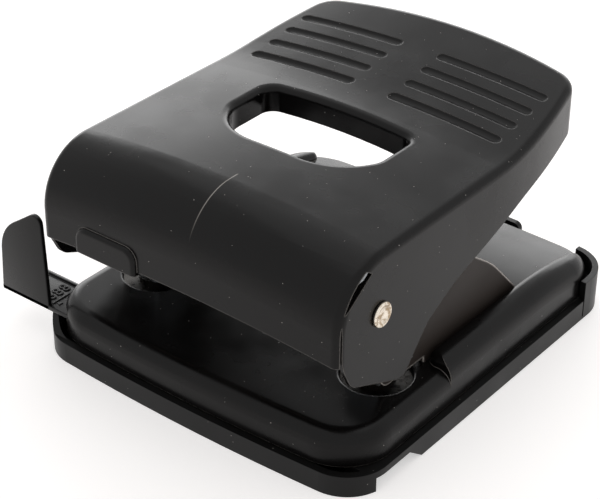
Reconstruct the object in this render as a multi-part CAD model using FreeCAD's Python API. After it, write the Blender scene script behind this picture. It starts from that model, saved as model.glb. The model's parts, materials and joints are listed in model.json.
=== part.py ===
"""Two-hole desk punch: a pressed-steel lever over a pressed-steel base with a
plastic chad tray, a sliding paper guide and two sprung punch pins.

Frame: millimetres, origin at the middle of the footprint on the desk.
X runs across the punch along the hinge axis, Y from the paper mouth (-Y) to
the free end of the lever (+Y), Z up.

Widths follow the spacing of the holes from the inside out: pins, cheeks,
spacers, lever, ridges, tray. Heights over the base follow the deck.
"""
import FreeCAD, Part
import math
import os

V = FreeCAD.Vector

# ---------------------------------------------------------------- the punched paper
HOLE_SPACING = 80.0           # between the two punched holes
HOLE_DIAMETER = 5.5
HOLE_SETBACK = 12.0           # from the paper's edge to the hole centres
STOP_Y = -19.5                # where the paper's edge stops
SLOT_HEIGHT = 1.6             # gap the paper goes into

# ---------------------------------------------------------------- clearances
RUNNING_FIT = 0.05            # radial, round part in a bore that turns or slides
SIDE_CLEARANCE = 0.3          # between bodies that move past each other
SEAT_CLEARANCE = 0.2          # between a pressed part and what it drops into

# ---------------------------------------------------------------- chad tray
TRAY_FRONT = -63.8            # front edge at the corners; a deeper tray grows to the rear
TRAY_DEPTH = 127.6            # at the corners, without the bow of its ends
TRAY_CORNER = 13.2
END_BOW = 2.3                 # how far front and rear edges bow out in the middle
TRAY_WALL = 2.2
TRAY_FLOOR = 1.6
TRAY_SKIRT_TOP = 6.5
LIP_TOP = 12.6                # raised lips at the rear right corner and the rear middle
LIP_WALL = 1.8
LIP_RAMP_SETBACK = 1.0        # front left lip, rising to just under the ruler
LIP_RAMP_LENGTH = 4.2
LIP_REAR_LENGTH_Y = 15.8      # rear right lip, from the rear corner along the right side
LIP_REAR_LENGTH_X = 12.5
LIP_MIDDLE_HALF = 25.0
LIP_END_RADIUS = 2.0
SEAM_LINE = 0.6
TRAY_POST_RADIUS = 2.8
TRAY_SPIGOT_RADIUS = 1.5
TRAY_POST_INSET = 12.5        # posts in from the tray's sides
TRAY_POST_FRONT_Y = -50.0
TRAY_POST_REAR_SETBACK = 27.8
NOTCH_HEIGHT = 4.4            # finger notch in the right-hand skirt
NOTCH_FRONT = -55.2
NOTCH_REAR = -41.0
NOTCH_RAMP = 7.0
NOTCH_DEPTH = 7.0

# ---------------------------------------------------------------- base cover
COVER_STEEL = 1.0
COVER_INSET = 2.1             # cover wall in from the tray wall
COVER_CORNER = 16.0           # wider than the tray's, so the lips stand clear of it
COVER_BOTTOM_GAP = 0.3
DECK_HEIGHT = 16.8            # top of the flat front deck
SHOULDER_RADIUS = 4.6         # rolled edge round the front of the deck
DECK_ROLL_START = 24.0        # behind this the deck falls away to the rear
DECK_ROLL_RADIUS = 185.0
REAR_EDGE_RADIUS = 3.6        # rounded edge round the rear of the deck, under the ridges' own
RIDGE_RISE = 3.6              # side ridges over the deck
RIDGE_ROLL_RADIUS = 125.0     # they fall away faster than the deck
RIDGE_GAP = 0.5               # flat strip between a cheek's slot and the ridge
RIDGE_WIDTH = 8.6             # out to the cover's side wall
RIDGE_END_INSET = 5.0         # rear end of a ridge in from the cover's rear wall
RIDGE_INNER_RADIUS = 2.4      # round the inner side and both ends of a ridge
RIDGE_OUTER_RADIUS = 6.0
RIDGE_CORNER = 3.2
POCKET_RADIUS = 10.2          # round opening in the deck round each die
POCKET_EDGE_RADIUS = 0.7

# ---------------------------------------------------------------- base plate and dies
PLATE_BELOW_DECK = 9.2        # underside of the base plate
PLATE_STEEL = 1.5
PLATE_WINDOW_HALF_WIDTH = 24.0
PLATE_WINDOW_FRONT = -20.0
PLATE_WINDOW_REAR = 32.0
PLATE_WINDOW_CORNER = 5.0
DIE_CLEARANCE = 0.3           # die disc inside the cover's round opening
DIE_BOSS_RADIUS = 5.4
DIE_BOSS_BELOW_DECK = 0.2
DIE_DISC_BELOW_DECK = 1.3
DIE_HOLE_CLEARANCE = 0.03
DIE_LAND = 2.6                # straight length of the cutting hole
CHAD_HOLE_RADIUS = 3.8

# ---------------------------------------------------------------- side frames
FRAME_STEEL = 1.5
FRAME_OUTSIDE_PIN = 7.0       # outer face of each cheek from the pin's axis
FRAME_REAR = 27.6             # where the cheek's rear edge meets the deck
FRAME_FRONT = -37.5           # lower front corner of the cheek
FRAME_FOOT_WIDTH = 14.0
FRAME_FOOT_FRONT = -12.0
FRAME_FOOT_REAR = 24.0
PIVOT_BOSS_RADIUS = 8.5
GUIDE_BLOCK_WIDTH = 12.0
GUIDE_BLOCK_LENGTH = 13.0
GUIDE_BLOCK_HEIGHT = 12.6
RIVET_RADIUS = 1.6
RIVET_DEPTH = 2.4             # rivet shank inside the pin guide block
RIVET_HEAD_RADIUS = 2.8
RIVET_HEAD_HEIGHT = 1.0

# ---------------------------------------------------------------- hinge
PIVOT_Y = -47.0
PIVOT_OVER_DECK = 32.2
AXLE_RADIUS = 2.5
AXLE_HEAD_RADIUS = 4.2
AXLE_HEAD_HEIGHT = 1.5
AXLE_HEAD_DISH = 0.6
SPACER_RADIUS = 4.6
SPACER_LENGTH = 3.2

# ---------------------------------------------------------------- punch pins
PIN_OVER_SLOT = 0.4           # tip of the pin over the paper slot at rest
PIN_TOP_OVER_DECK = 29.2
PIN_DOME_RADIUS = 5.0
PIN_HEAD_RADIUS = 3.6
PIN_HEAD_HEIGHT = 1.8
PIN_TIP_NOTCH = 0.7
WASHER_RADIUS = 5.4
WASHER_THICKNESS = 0.8
CLIP_RADIUS = 4.4
CLIP_THICKNESS = 0.7
CLIP_GROOVE_DEPTH = 0.5
CLIP_BELOW_HEAD = 1.4
SPRING_WIRE = 0.45            # wire radius
SPRING_RADIUS = 4.1           # coil centre line
SPRING_TURNS = 4

# ---------------------------------------------------------------- lever
LEVER_STEEL = 1.2
LEVER_LOW_OVER_DECK = 3.2     # lower than anything that is left of the lever
LEVER_TAPER_START = 5.0       # behind this the sides draw in
LEVER_TAPER_RADIUS = 190.0
LEVER_REAR = 59.6             # rear edge at the middle
LEVER_REAR_BOW = 4.2
LEVER_REAR_CORNER = 8.5
LEVER_OVER_DECK = 53.3        # flat front part of the top, at the middle
LEVER_CROWN_RADIUS = 413.0
LEVER_KNEE_Y = 16.0           # behind this the top rises
LEVER_KNEE_RADIUS = 120.0
LEVER_REAR_RISE = 8.1         # degrees
LEVER_EDGE_RADIUS = 2.5
NOSE_FRONT = -64.3
NOSE_RADIUS = 18.0
NOSE_OVER_DECK = 26.0         # lower edge of the nose, at the middle
NOSE_BOTTOM_RADIUS = 607.0    # that edge arches like the crown
FLANGE_FRONT = -62.6          # front edge of the flanges, behind the nose
RELIEF_REAR = -51.0           # rear end of the corner relief, on the flange
RELIEF_BELOW_TOP = 7.1
RELIEF_SLANT_Y = 12.0         # the relief's rear end runs out along this slant
RELIEF_SLANT_Z = 7.8
RELIEF_CORNER_BELOW_TOP = 15.1        # from here down the flange's front edge is upright
GROOVE_COUNT = 4
GROOVE_FIRST_Y = 17.6
GROOVE_PITCH = 7.87
GROOVE_INNER_X = 8.0
GROOVE_FROM_SIDE = 9.5        # outer ends of the grooves from the lever's sides
GROOVE_RADIUS = 2.3
GROOVE_DEPTH = 0.75
HAND_HOLE_HALF_WIDTH = 25.3
HAND_HOLE_REAR = 2.9          # at the corners
HAND_HOLE_REAR_BOW = 1.7      # how far the rear edge bows out in the middle
HAND_HOLE_REAR_RADIUS = 300.0
HAND_HOLE_REAR_CORNER = 4.0
HAND_HOLE_SIDE = -13.2        # in front of this the sides draw in
HAND_HOLE_SIDE_CORNER = 8.7
HAND_HOLE_FRONT = -25.2
HAND_HOLE_FRONT_HALF = 18.6   # half width of the straight front edge
HAND_HOLE_FRONT_CORNER = 18.5
HAND_HOLE_LIP = 8.0           # depth of the turned-down edge
HAND_HOLE_ROLL = 2.1          # radius that the skin rolls over into it
LUG_LEFT = -38.0
LUG_RIGHT = -16.0
LUG_HEIGHT = 6.7              # over the lower edge of the nose
LUG_RISE = 1.4
PRESS_BAR_STEEL = 1.5
PRESS_BAR_FRONT = -38.0
PRESS_BAR_REAR = -28.4
PRESS_BAR_SIDE_GAP = 0.6      # inside the side frames
PRESS_BAR_FOOT = 7.0          # feet of the channel against the lever's skin
PRESS_GAP = 0.3

# ---------------------------------------------------------------- paper guide
RULER_SETBACK = 1.7           # behind the cover's front edge at the corners
RULER_WIDTH = 13.2
RULER_THICKNESS = 1.6
RULER_BELOW_DECK = 4.2
RULER_PAST_PIN = 1.0          # right end of the ruler from the right pin's axis
RULER_EDGE_RADIUS = 0.8       # under the front edge
RULER_RIM = 0.7               # raised rear edge
RULER_RIM_WIDTH = 1.2
FLAG_GAP = 0.2                # outside the cover's side wall
FLAG_WIDTH = 19.2
FLAG_OVER_DECK = 26.6         # where the right edge would meet the slanted top
FLAG_THICKNESS = 1.5
FLAG_SHOULDER_OVER_DECK = 17.2        # where the left edge would meet the slanted top
FLAG_SHOULDER_RADIUS = 14.0
FLAG_CORNER_RADIUS = 2.6
FLAG_LEAN = 0.9               # both edges lean in towards the top
MARK_FROM_FLAG = 0.1
MARK_WIDTH = 0.5
MARK_DEPTH = 0.3
DIGIT_FROM_MARK = 3.2
DIGIT_PITCH = 3.4
DIGIT_COUNT = 3
CHANNEL_PAST_PIN = 1.0        # left end of the channel from the left pin's axis
CHANNEL_BEYOND_RULER = 1.0    # channel past the ruler's right end
CHANNEL_WALL = 1.2
CHANNEL_LIP = 1.2

# ---------------------------------------------------------------- screws
SCREW_RADIUS = 1.4
SCREW_HEAD_RADIUS = 2.8
SCREW_HEAD_HEIGHT = 1.5
STUD_RADIUS = 3.0
STUD_FRONT_Y = -6.0
STUD_REAR_SETBACK = 19.8

# ---------------------------------------------------------------- worked-out places
TRAY_REAR = TRAY_FRONT + TRAY_DEPTH
PUNCH_X = HOLE_SPACING / 2
FRAME_OUTER_X = PUNCH_X + FRAME_OUTSIDE_PIN
FRAME_INNER_X = FRAME_OUTER_X - FRAME_STEEL
FLANGE_INNER_X = FRAME_OUTER_X + SIDE_CLEARANCE + SPACER_LENGTH
LEVER_HALF_WIDTH = FLANGE_INNER_X + LEVER_STEEL
COVER_HALF_WIDTH = FRAME_OUTER_X + SIDE_CLEARANCE + RIDGE_GAP + RIDGE_WIDTH
TRAY_HALF_WIDTH = COVER_HALF_WIDTH + COVER_INSET
LIP_RAMP_FRONT = TRAY_FRONT + LIP_RAMP_SETBACK
LIP_RAMP_REAR = LIP_RAMP_FRONT + LIP_RAMP_LENGTH
LIP_REAR_START_Y = TRAY_REAR - LIP_REAR_LENGTH_Y
LIP_REAR_START_X = TRAY_HALF_WIDTH - LIP_REAR_LENGTH_X
TRAY_POST_X = TRAY_HALF_WIDTH - TRAY_POST_INSET
TRAY_POST_REAR_Y = TRAY_REAR - TRAY_POST_REAR_SETBACK
STUD_REAR_Y = TRAY_REAR - STUD_REAR_SETBACK
PUNCH_Y = STOP_Y - HOLE_SETBACK
SLOT_TOP = DECK_HEIGHT + SLOT_HEIGHT
COVER_FRONT = TRAY_FRONT + COVER_INSET
COVER_REAR = TRAY_REAR - COVER_INSET
COVER_BOTTOM = TRAY_SKIRT_TOP + COVER_BOTTOM_GAP
PLATE_HEIGHT = DECK_HEIGHT - PLATE_BELOW_DECK
PLATE_TOP = PLATE_HEIGHT + PLATE_STEEL
PIVOT_Z = DECK_HEIGHT + PIVOT_OVER_DECK
PIN_TOP = DECK_HEIGHT + PIN_TOP_OVER_DECK
LEVER_TOP = DECK_HEIGHT + LEVER_OVER_DECK
LEVER_LOW = DECK_HEIGHT + LEVER_LOW_OVER_DECK
NOSE_BOTTOM = DECK_HEIGHT + NOSE_OVER_DECK
RELIEF_TOP = LEVER_TOP - RELIEF_BELOW_TOP
RELIEF_CORNER = LEVER_TOP - RELIEF_CORNER_BELOW_TOP
LUG_TOP = NOSE_BOTTOM + LUG_HEIGHT
GUIDE_BLOCK_TOP = SLOT_TOP + GUIDE_BLOCK_HEIGHT
PIN_TIP = SLOT_TOP + PIN_OVER_SLOT
PIN_RADIUS = HOLE_DIAMETER / 2
RULER_FRONT = COVER_FRONT + RULER_SETBACK
RULER_REAR = RULER_FRONT + RULER_WIDTH
RULER_RIGHT = PUNCH_X + RULER_PAST_PIN
FLAG_RIGHT = -COVER_HALF_WIDTH - FLAG_GAP
RULER_LEFT = FLAG_RIGHT - FLAG_WIDTH
FLAG_TOP = DECK_HEIGHT + FLAG_OVER_DECK
FLAG_SHOULDER = DECK_HEIGHT + FLAG_SHOULDER_OVER_DECK
MARK_X = FLAG_RIGHT + MARK_FROM_FLAG
DIGIT_X = MARK_X - DIGIT_FROM_MARK
CHANNEL_LEFT = -PUNCH_X - CHANNEL_PAST_PIN
CHANNEL_RIGHT = RULER_RIGHT + CHANNEL_BEYOND_RULER
RULER_TOP = DECK_HEIGHT - RULER_BELOW_DECK
RULER_BOTTOM = RULER_TOP - RULER_THICKNESS
CLIP_TOP = PIN_TOP - PIN_HEAD_HEIGHT - CLIP_BELOW_HEAD
CLIP_BOTTOM = CLIP_TOP - CLIP_THICKNESS
WASHER_BOTTOM = CLIP_BOTTOM - WASHER_THICKNESS
FAR = 200.0                   # longer than anything in the model
SAME = 0.01                   # places closer than this count as one


# ================================================================ shape helpers
def box(x0, x1, y0, y1, z0, z1):
    return Part.makeBox(x1 - x0, y1 - y0, z1 - z0, V(x0, y0, z0))


def upright_cylinder(x, y, radius, z0, z1):
    return Part.makeCylinder(radius, z1 - z0, V(x, y, z0), V(0, 0, 1))


def cross_cylinder(x0, x1, y, z, radius):
    return Part.makeCylinder(radius, x1 - x0, V(x0, y, z), V(1, 0, 0))


def mirrored(shape):
    return shape.mirror(V(0, 0, 0), V(1, 0, 0))


def side_plane(u, v):
    """Outline drawn in side view: u along Y, v along Z."""
    return V(0, u, v)


def front_plane(u, v):
    """Outline drawn in front view: u along X, v along Z."""
    return V(u, 0, v)


def rounded_wire(corners, plane, offset=V(0, 0, 0)):
    """Closed wire through corners (u, v, radius), each rounded by its radius."""
    points = [plane(u, v) + offset for u, v, radius in corners]
    edges = []
    starts = []
    ends = []
    arcs = []
    count = len(points)
    for i in range(count):
        here = points[i]
        back = (points[i - 1] - here).normalize()
        ahead = (points[(i + 1) % count] - here).normalize()
        radius = corners[i][2]
        if radius == 0:
            starts.append(here)
            ends.append(here)
            arcs.append(None)
            continue
        half = back.getAngle(ahead) / 2
        reach = radius / math.tan(half)
        inward = (back + ahead).normalize()
        middle = here + inward * (radius / math.sin(half) - radius)
        starts.append(here + back * reach)
        ends.append(here + ahead * reach)
        arcs.append(middle)
    for i in range(count):
        if arcs[i] is not None:
            edges.append(Part.Arc(starts[i], arcs[i], ends[i]).toShape())
        following = starts[(i + 1) % count]
        if (following - ends[i]).Length > 1e-6:
            edges.append(Part.makeLine(ends[i], following))
    return Part.Wire(edges)


def side_prism(corners, x0, x1):
    """Plate whose outline is seen from the side, from x0 to x1."""
    wire = rounded_wire(corners, side_plane, V(x0, 0, 0))
    return Part.Face(wire).extrude(V(x1 - x0, 0, 0))


def front_prism(corners, y0, y1):
    """Plate whose outline is seen from the front, from y0 to y1."""
    wire = rounded_wire(corners, front_plane, V(0, y0, 0))
    return Part.Face(wire).extrude(V(0, y1 - y0, 0))


def upright_edges(shape):
    found = []
    for edge in shape.Edges:
        if edge.Curve.TypeId != "Part::GeomLine":
            continue
        if abs(edge.tangentAt(edge.FirstParameter).z) > 0.99:
            found.append(edge)
    return found


def bowed_block(half_width, front, rear, corner, z0, z1):
    """Rounded rectangle whose front and rear edges bow out, from z0 to z1."""
    left_front = V(-half_width, front, z0)
    right_front = V(half_width, front, z0)
    right_rear = V(half_width, rear, z0)
    left_rear = V(-half_width, rear, z0)
    edges = [
        Part.Arc(left_front, V(0, front - END_BOW, z0), right_front).toShape(),
        Part.makeLine(right_front, right_rear),
        Part.Arc(right_rear, V(0, rear + END_BOW, z0), left_rear).toShape(),
        Part.makeLine(left_rear, left_front),
    ]
    block = Part.Face(Part.Wire(edges)).extrude(V(0, 0, z1 - z0))
    return block.makeFillet(corner, upright_edges(block))


def cover_block(inset, z0, z1):
    return bowed_block(COVER_HALF_WIDTH - inset, COVER_FRONT + inset, COVER_REAR - inset,
                       COVER_CORNER - inset, z0, z1)


def tray_block(inset, z0, z1):
    return bowed_block(TRAY_HALF_WIDTH - inset, TRAY_FRONT + inset, TRAY_REAR - inset,
                       TRAY_CORNER - inset, z0, z1)


def joined(shapes):
    """One solid out of touching shapes."""
    result = shapes[0]
    for shape in shapes[1:]:
        result = result.fuse(shape)
    return result.removeSplitter()


# ================================================================ base cover
def deck_profile(rise, inset):
    """Side view of everything under the deck surface, or under the ridges when raised."""
    top = DECK_HEIGHT + rise - inset
    radius = (RIDGE_ROLL_RADIUS if rise else DECK_ROLL_RADIUS) - inset
    front = TRAY_FRONT - END_BOW - 1
    rear = TRAY_REAR + END_BOW + 1
    drop_mid = radius - math.sqrt(radius ** 2 - ((rear - DECK_ROLL_START) / 2) ** 2)
    drop_end = radius - math.sqrt(radius ** 2 - (rear - DECK_ROLL_START) ** 2)
    start = V(-FAR, DECK_ROLL_START, top)
    mid = V(-FAR, (DECK_ROLL_START + rear) / 2, top - drop_mid)
    end = V(-FAR, rear, top - drop_end)
    edges = [
        Part.makeLine(V(-FAR, front, top), start),
        Part.Arc(start, mid, end).toShape(),
        Part.makeLine(end, V(-FAR, rear, 0)),
        Part.makeLine(V(-FAR, rear, 0), V(-FAR, front, 0)),
        Part.makeLine(V(-FAR, front, 0), V(-FAR, front, top)),
    ]
    return Part.Face(Part.Wire(edges)).extrude(V(2 * FAR, 0, 0))


def top_edges(shape, lowest):
    """Edges wholly above a height, without the smooth seam where the deck starts to fall."""
    found = []
    for edge in shape.Edges:
        bounds = edge.BoundBox
        seam = bounds.YLength < SAME and abs(bounds.YMin - DECK_ROLL_START) < SAME
        if bounds.ZMin > lowest + SAME and not seam:
            found.append(edge)
    return found


def deck_form(rise, radius, inset):
    """The whole cover up to the deck surface raised by rise, its top edge rounded."""
    bottom = COVER_BOTTOM - (FAR if inset else 0)
    plan = cover_block(inset, bottom, DECK_HEIGHT + 2 * RIDGE_RISE)
    pan = plan.common(deck_profile(rise, inset))
    return pan.makeFillet(radius - inset, top_edges(pan, COVER_BOTTOM + inset))


def ridge_block(inset):
    """Inner side and ends of the rib along the right side; its front end is the paper stop."""
    inner_x = FRAME_OUTER_X + SIDE_CLEARANCE + RIDGE_GAP + inset
    rear = COVER_REAR - RIDGE_END_INSET - inset
    bottom = COVER_BOTTOM - (FAR if inset else 0)
    block = box(inner_x, FAR, STOP_Y + inset, rear, bottom, FAR)
    corners = [edge for edge in upright_edges(block) if edge.BoundBox.XMax < inner_x + SAME]
    block = block.makeFillet(RIDGE_CORNER - inset, corners).common(deck_profile(RIDGE_RISE, inset))
    outer_end = [edge for edge in top_edges(block, DECK_HEIGHT - SHOULDER_RADIUS)
                 if edge.BoundBox.XMin < FAR - 1]
    return block.makeFillet(RIDGE_INNER_RADIUS - inset, outer_end)


def cover_form(inset):
    """Outside of the pressed cover, or its inside when inset by the steel."""
    raised = deck_form(RIDGE_RISE, RIDGE_OUTER_RADIUS, inset)
    front = deck_form(0, SHOULDER_RADIUS, inset)
    front = front.common(box(-FAR, FAR, -FAR, DECK_ROLL_START, -2 * FAR, FAR))
    rear = deck_form(0, REAR_EDGE_RADIUS, inset)
    rear = rear.common(box(-FAR, FAR, DECK_ROLL_START, FAR, -2 * FAR, FAR))
    pan = front.fuse(rear)
    ridge = raised.common(ridge_block(inset))
    return pan.fuse(ridge).fuse(mirrored(ridge)).removeSplitter()


def base_cover():
    shell = cover_form(0).cut(cover_form(COVER_STEEL))
    slot_x0 = FRAME_INNER_X - SEAT_CLEARANCE
    slot_x1 = FRAME_OUTER_X + SIDE_CLEARANCE
    for side in (1, -1):
        pocket = upright_cylinder(side * PUNCH_X, PUNCH_Y, POCKET_RADIUS,
                                  DECK_HEIGHT - 2 * COVER_STEEL, DECK_HEIGHT + 1)
        shell = shell.cut(pocket)
        slot = box(slot_x0, slot_x1, STOP_Y - SEAT_CLEARANCE, FRAME_REAR + SEAT_CLEARANCE,
                   DECK_HEIGHT - 3 * COVER_STEEL, DECK_HEIGHT + RIDGE_RISE)
        shell = shell.cut(slot if side > 0 else mirrored(slot))
    rims = []
    for edge in shell.Edges:
        circle = edge.Curve
        if circle.TypeId != "Part::GeomCircle" or abs(circle.Radius - POCKET_RADIUS) > 1e-4:
            continue
        if edge.BoundBox.ZMin > DECK_HEIGHT - COVER_STEEL / 2:
            rims.append(edge)
    shell = shell.makeFillet(POCKET_EDGE_RADIUS, rims)
    shell = shell.cut(guide_exit())
    for x, y in stud_places():
        shell = shell.fuse(stud(x, y))
    return shell


def guide_exit():
    """Way out for the ruler through the cover's front left corner."""
    return box(-FAR, CHANNEL_LEFT, RULER_FRONT - SIDE_CLEARANCE, RULER_REAR + SIDE_CLEARANCE,
               RULER_BOTTOM - SIDE_CLEARANCE, RULER_TOP + RULER_RIM + SIDE_CLEARANCE)


def stud_places():
    return [(side * PUNCH_X, y) for side in (-1, 1) for y in (STUD_FRONT_Y, STUD_REAR_Y)]


def stud(x, y):
    """Threaded stud under the deck that a base screw pulls on."""
    post = upright_cylinder(x, y, STUD_RADIUS, PLATE_TOP, DECK_HEIGHT).common(deck_profile(0, COVER_STEEL / 2))
    return post.cut(upright_cylinder(x, y, SCREW_RADIUS, PLATE_TOP, PLATE_TOP + 4 * SCREW_RADIUS))


# ================================================================ base plate, dies, channel
def base_plate():
    plate = cover_block(COVER_STEEL + SEAT_CLEARANCE, PLATE_HEIGHT, PLATE_TOP)
    window = box(-PLATE_WINDOW_HALF_WIDTH, PLATE_WINDOW_HALF_WIDTH,
                 PLATE_WINDOW_FRONT, PLATE_WINDOW_REAR, PLATE_HEIGHT, PLATE_TOP)
    plate = plate.cut(window.makeFillet(PLATE_WINDOW_CORNER, upright_edges(window)))
    for side in (-1, 1):
        plate = plate.cut(upright_cylinder(side * PUNCH_X, PUNCH_Y, CHAD_HOLE_RADIUS, 0, FAR))
    for x, y in stud_places():
        plate = plate.cut(upright_cylinder(x, y, SCREW_RADIUS + SEAT_CLEARANCE, 0, FAR))
    for x, y in foot_rivet_places():
        plate = plate.cut(upright_cylinder(x, y, RIVET_RADIUS, 0, FAR))
    for x, y in post_places():
        plate = plate.cut(upright_cylinder(x, y, TRAY_SPIGOT_RADIUS + RUNNING_FIT, 0, FAR))
    return plate


def base_screws():
    screws = []
    for x, y in stud_places():
        head = upright_cylinder(x, y, SCREW_HEAD_RADIUS, PLATE_HEIGHT - SCREW_HEAD_HEIGHT, PLATE_HEIGHT)
        head = head.makeFillet(SCREW_HEAD_HEIGHT / 2, [head.Edges[2]])
        shank = upright_cylinder(x, y, SCREW_RADIUS - RUNNING_FIT, PLATE_HEIGHT,
                                 PLATE_TOP + 2.5 * SCREW_RADIUS)
        drive = box(x - SCREW_HEAD_RADIUS * 0.7, x + SCREW_HEAD_RADIUS * 0.7, y - 0.3, y + 0.3,
                    PLATE_HEIGHT - SCREW_HEAD_HEIGHT, PLATE_HEIGHT - SCREW_HEAD_HEIGHT / 2)
        screws.append(joined([head, shank]).cut(drive))
    return Part.makeCompound(screws)


def die(side):
    x = side * PUNCH_X
    disc_top = DECK_HEIGHT - DIE_DISC_BELOW_DECK
    boss_top = DECK_HEIGHT - DIE_BOSS_BELOW_DECK
    hole = PIN_RADIUS + DIE_HOLE_CLEARANCE
    body = upright_cylinder(x, PUNCH_Y, POCKET_RADIUS - DIE_CLEARANCE, PLATE_TOP, disc_top)
    body = body.fuse(upright_cylinder(x, PUNCH_Y, DIE_BOSS_RADIUS, PLATE_TOP, boss_top))
    body = body.cut(upright_cylinder(x, PUNCH_Y, hole, 0, FAR))
    return body.cut(upright_cylinder(x, PUNCH_Y, CHAD_HOLE_RADIUS, 0, boss_top - DIE_LAND))


def guide_channel():
    """Plastic channel on the base plate that the ruler slides in."""
    rear = RULER_REAR + SIDE_CLEARANCE
    top = RULER_TOP + RULER_RIM + SIDE_CLEARANCE
    front = RULER_FRONT - SIDE_CLEARANCE
    floor = box(CHANNEL_LEFT, CHANNEL_RIGHT, front, rear + CHANNEL_WALL, PLATE_TOP,
                RULER_BOTTOM - SIDE_CLEARANCE)
    wall = box(CHANNEL_LEFT, CHANNEL_RIGHT, rear, rear + CHANNEL_WALL, PLATE_TOP, top + CHANNEL_LIP)
    lip = box(CHANNEL_LEFT, CHANNEL_RIGHT, rear - CHANNEL_LIP, rear + CHANNEL_WALL, top,
              top + CHANNEL_LIP)
    return joined([floor, wall, lip])


# ================================================================ side frames
def cheek_outline():
    boss = PIVOT_BOSS_RADIUS
    return [
        (STOP_Y, PLATE_TOP, 0),
        (FRAME_REAR, PLATE_TOP, 0),
        (FRAME_REAR, DECK_HEIGHT, 2.0),
        (13.0, PIVOT_Z - 16.5, 45.0),
        (-12.0, PIVOT_Z + 1.5, 40.0),
        (PIVOT_Y - boss, PIVOT_Z + boss, boss),
        (PIVOT_Y - boss, PIVOT_Z - boss / 2, boss),
        (FRAME_FRONT, SLOT_TOP, 4.0),
        (STOP_Y, SLOT_TOP, 0),
    ]


def guide_block_box():
    inner = FRAME_INNER_X - GUIDE_BLOCK_WIDTH
    return (inner, FRAME_INNER_X, PUNCH_Y - GUIDE_BLOCK_LENGTH / 2,
            PUNCH_Y + GUIDE_BLOCK_LENGTH / 2, SLOT_TOP, GUIDE_BLOCK_TOP)


def block_rivet_places():
    middle = (SLOT_TOP + GUIDE_BLOCK_TOP) / 2
    return [(PUNCH_Y - GUIDE_BLOCK_LENGTH * 0.3, middle), (PUNCH_Y + GUIDE_BLOCK_LENGTH * 0.3, middle)]


def foot_rivet_places():
    x = FRAME_INNER_X - FRAME_FOOT_WIDTH / 2
    return [(side * x, y) for side in (-1, 1)
            for y in (FRAME_FOOT_FRONT + 20.0, FRAME_FOOT_REAR - 5.0)]


def side_frame(side):
    cheek = side_prism(cheek_outline(), FRAME_INNER_X, FRAME_OUTER_X)
    cheek = cheek.cut(cross_cylinder(0, FAR, PIVOT_Y, PIVOT_Z, AXLE_RADIUS + RUNNING_FIT))
    for y, z in block_rivet_places():
        cheek = cheek.cut(cross_cylinder(0, FAR, y, z, RIVET_RADIUS))
    foot = box(FRAME_INNER_X - FRAME_FOOT_WIDTH, FRAME_INNER_X, FRAME_FOOT_FRONT, FRAME_FOOT_REAR,
               PLATE_TOP, PLATE_TOP + FRAME_STEEL)
    for x, y in foot_rivet_places() + stud_places():
        hole = RIVET_RADIUS if (x, y) in foot_rivet_places() else STUD_RADIUS + SEAT_CLEARANCE
        foot = foot.cut(upright_cylinder(x, y, hole, 0, FAR))
    frame = joined([cheek, foot])
    return frame if side > 0 else mirrored(frame)


def pin_guide(side):
    block = box(*guide_block_box())
    block = block.makeFillet(2.0, [edge for edge in upright_edges(block)
                                   if edge.BoundBox.XMax < FRAME_INNER_X - 1])
    block = block.cut(upright_cylinder(PUNCH_X, PUNCH_Y, PIN_RADIUS + RUNNING_FIT, 0, FAR))
    for y, z in block_rivet_places():
        block = block.cut(cross_cylinder(FRAME_INNER_X - RIVET_DEPTH, FRAME_INNER_X, y, z, RIVET_RADIUS))
    return block if side > 0 else mirrored(block)


def frame_rivets():
    rivets = []
    for y, z in block_rivet_places():
        shank = cross_cylinder(FRAME_INNER_X - RIVET_DEPTH, FRAME_OUTER_X, y, z, RIVET_RADIUS)
        head = cross_cylinder(FRAME_OUTER_X, FRAME_OUTER_X + RIVET_HEAD_HEIGHT, y, z, RIVET_HEAD_RADIUS)
        rivet = joined([shank, head])
        rivets += [rivet, mirrored(rivet)]
    for x, y in foot_rivet_places():
        top = PLATE_TOP + FRAME_STEEL
        shank = upright_cylinder(x, y, RIVET_RADIUS, PLATE_HEIGHT - RIVET_HEAD_HEIGHT, top)
        head = upright_cylinder(x, y, RIVET_HEAD_RADIUS, top, top + RIVET_HEAD_HEIGHT)
        tail = upright_cylinder(x, y, RIVET_HEAD_RADIUS, PLATE_HEIGHT - RIVET_HEAD_HEIGHT, PLATE_HEIGHT)
        rivets.append(joined([shank, head, tail]))
    return Part.makeCompound(rivets)


# ================================================================ lever
def lever_top(x, inset=0):
    return LEVER_TOP - x * x / (2 * LEVER_CROWN_RADIUS) - inset


def lever_section(x, inset):
    """Side outline of the lever's outer form at one place across its width."""
    top = lever_top(x, inset)
    rear = LEVER_REAR + 10
    rise = (rear - LEVER_KNEE_Y) * math.tan(math.radians(LEVER_REAR_RISE))
    front = NOSE_FRONT + inset
    low = LEVER_LOW - (1 if inset else 0)
    return rounded_wire([
        (front, low, 0),
        (front, top, NOSE_RADIUS - inset),
        (LEVER_KNEE_Y, top, LEVER_KNEE_RADIUS),
        (rear, top + rise, 0),
        (rear, low, 0),
    ], side_plane, V(x, 0, 0))


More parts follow.
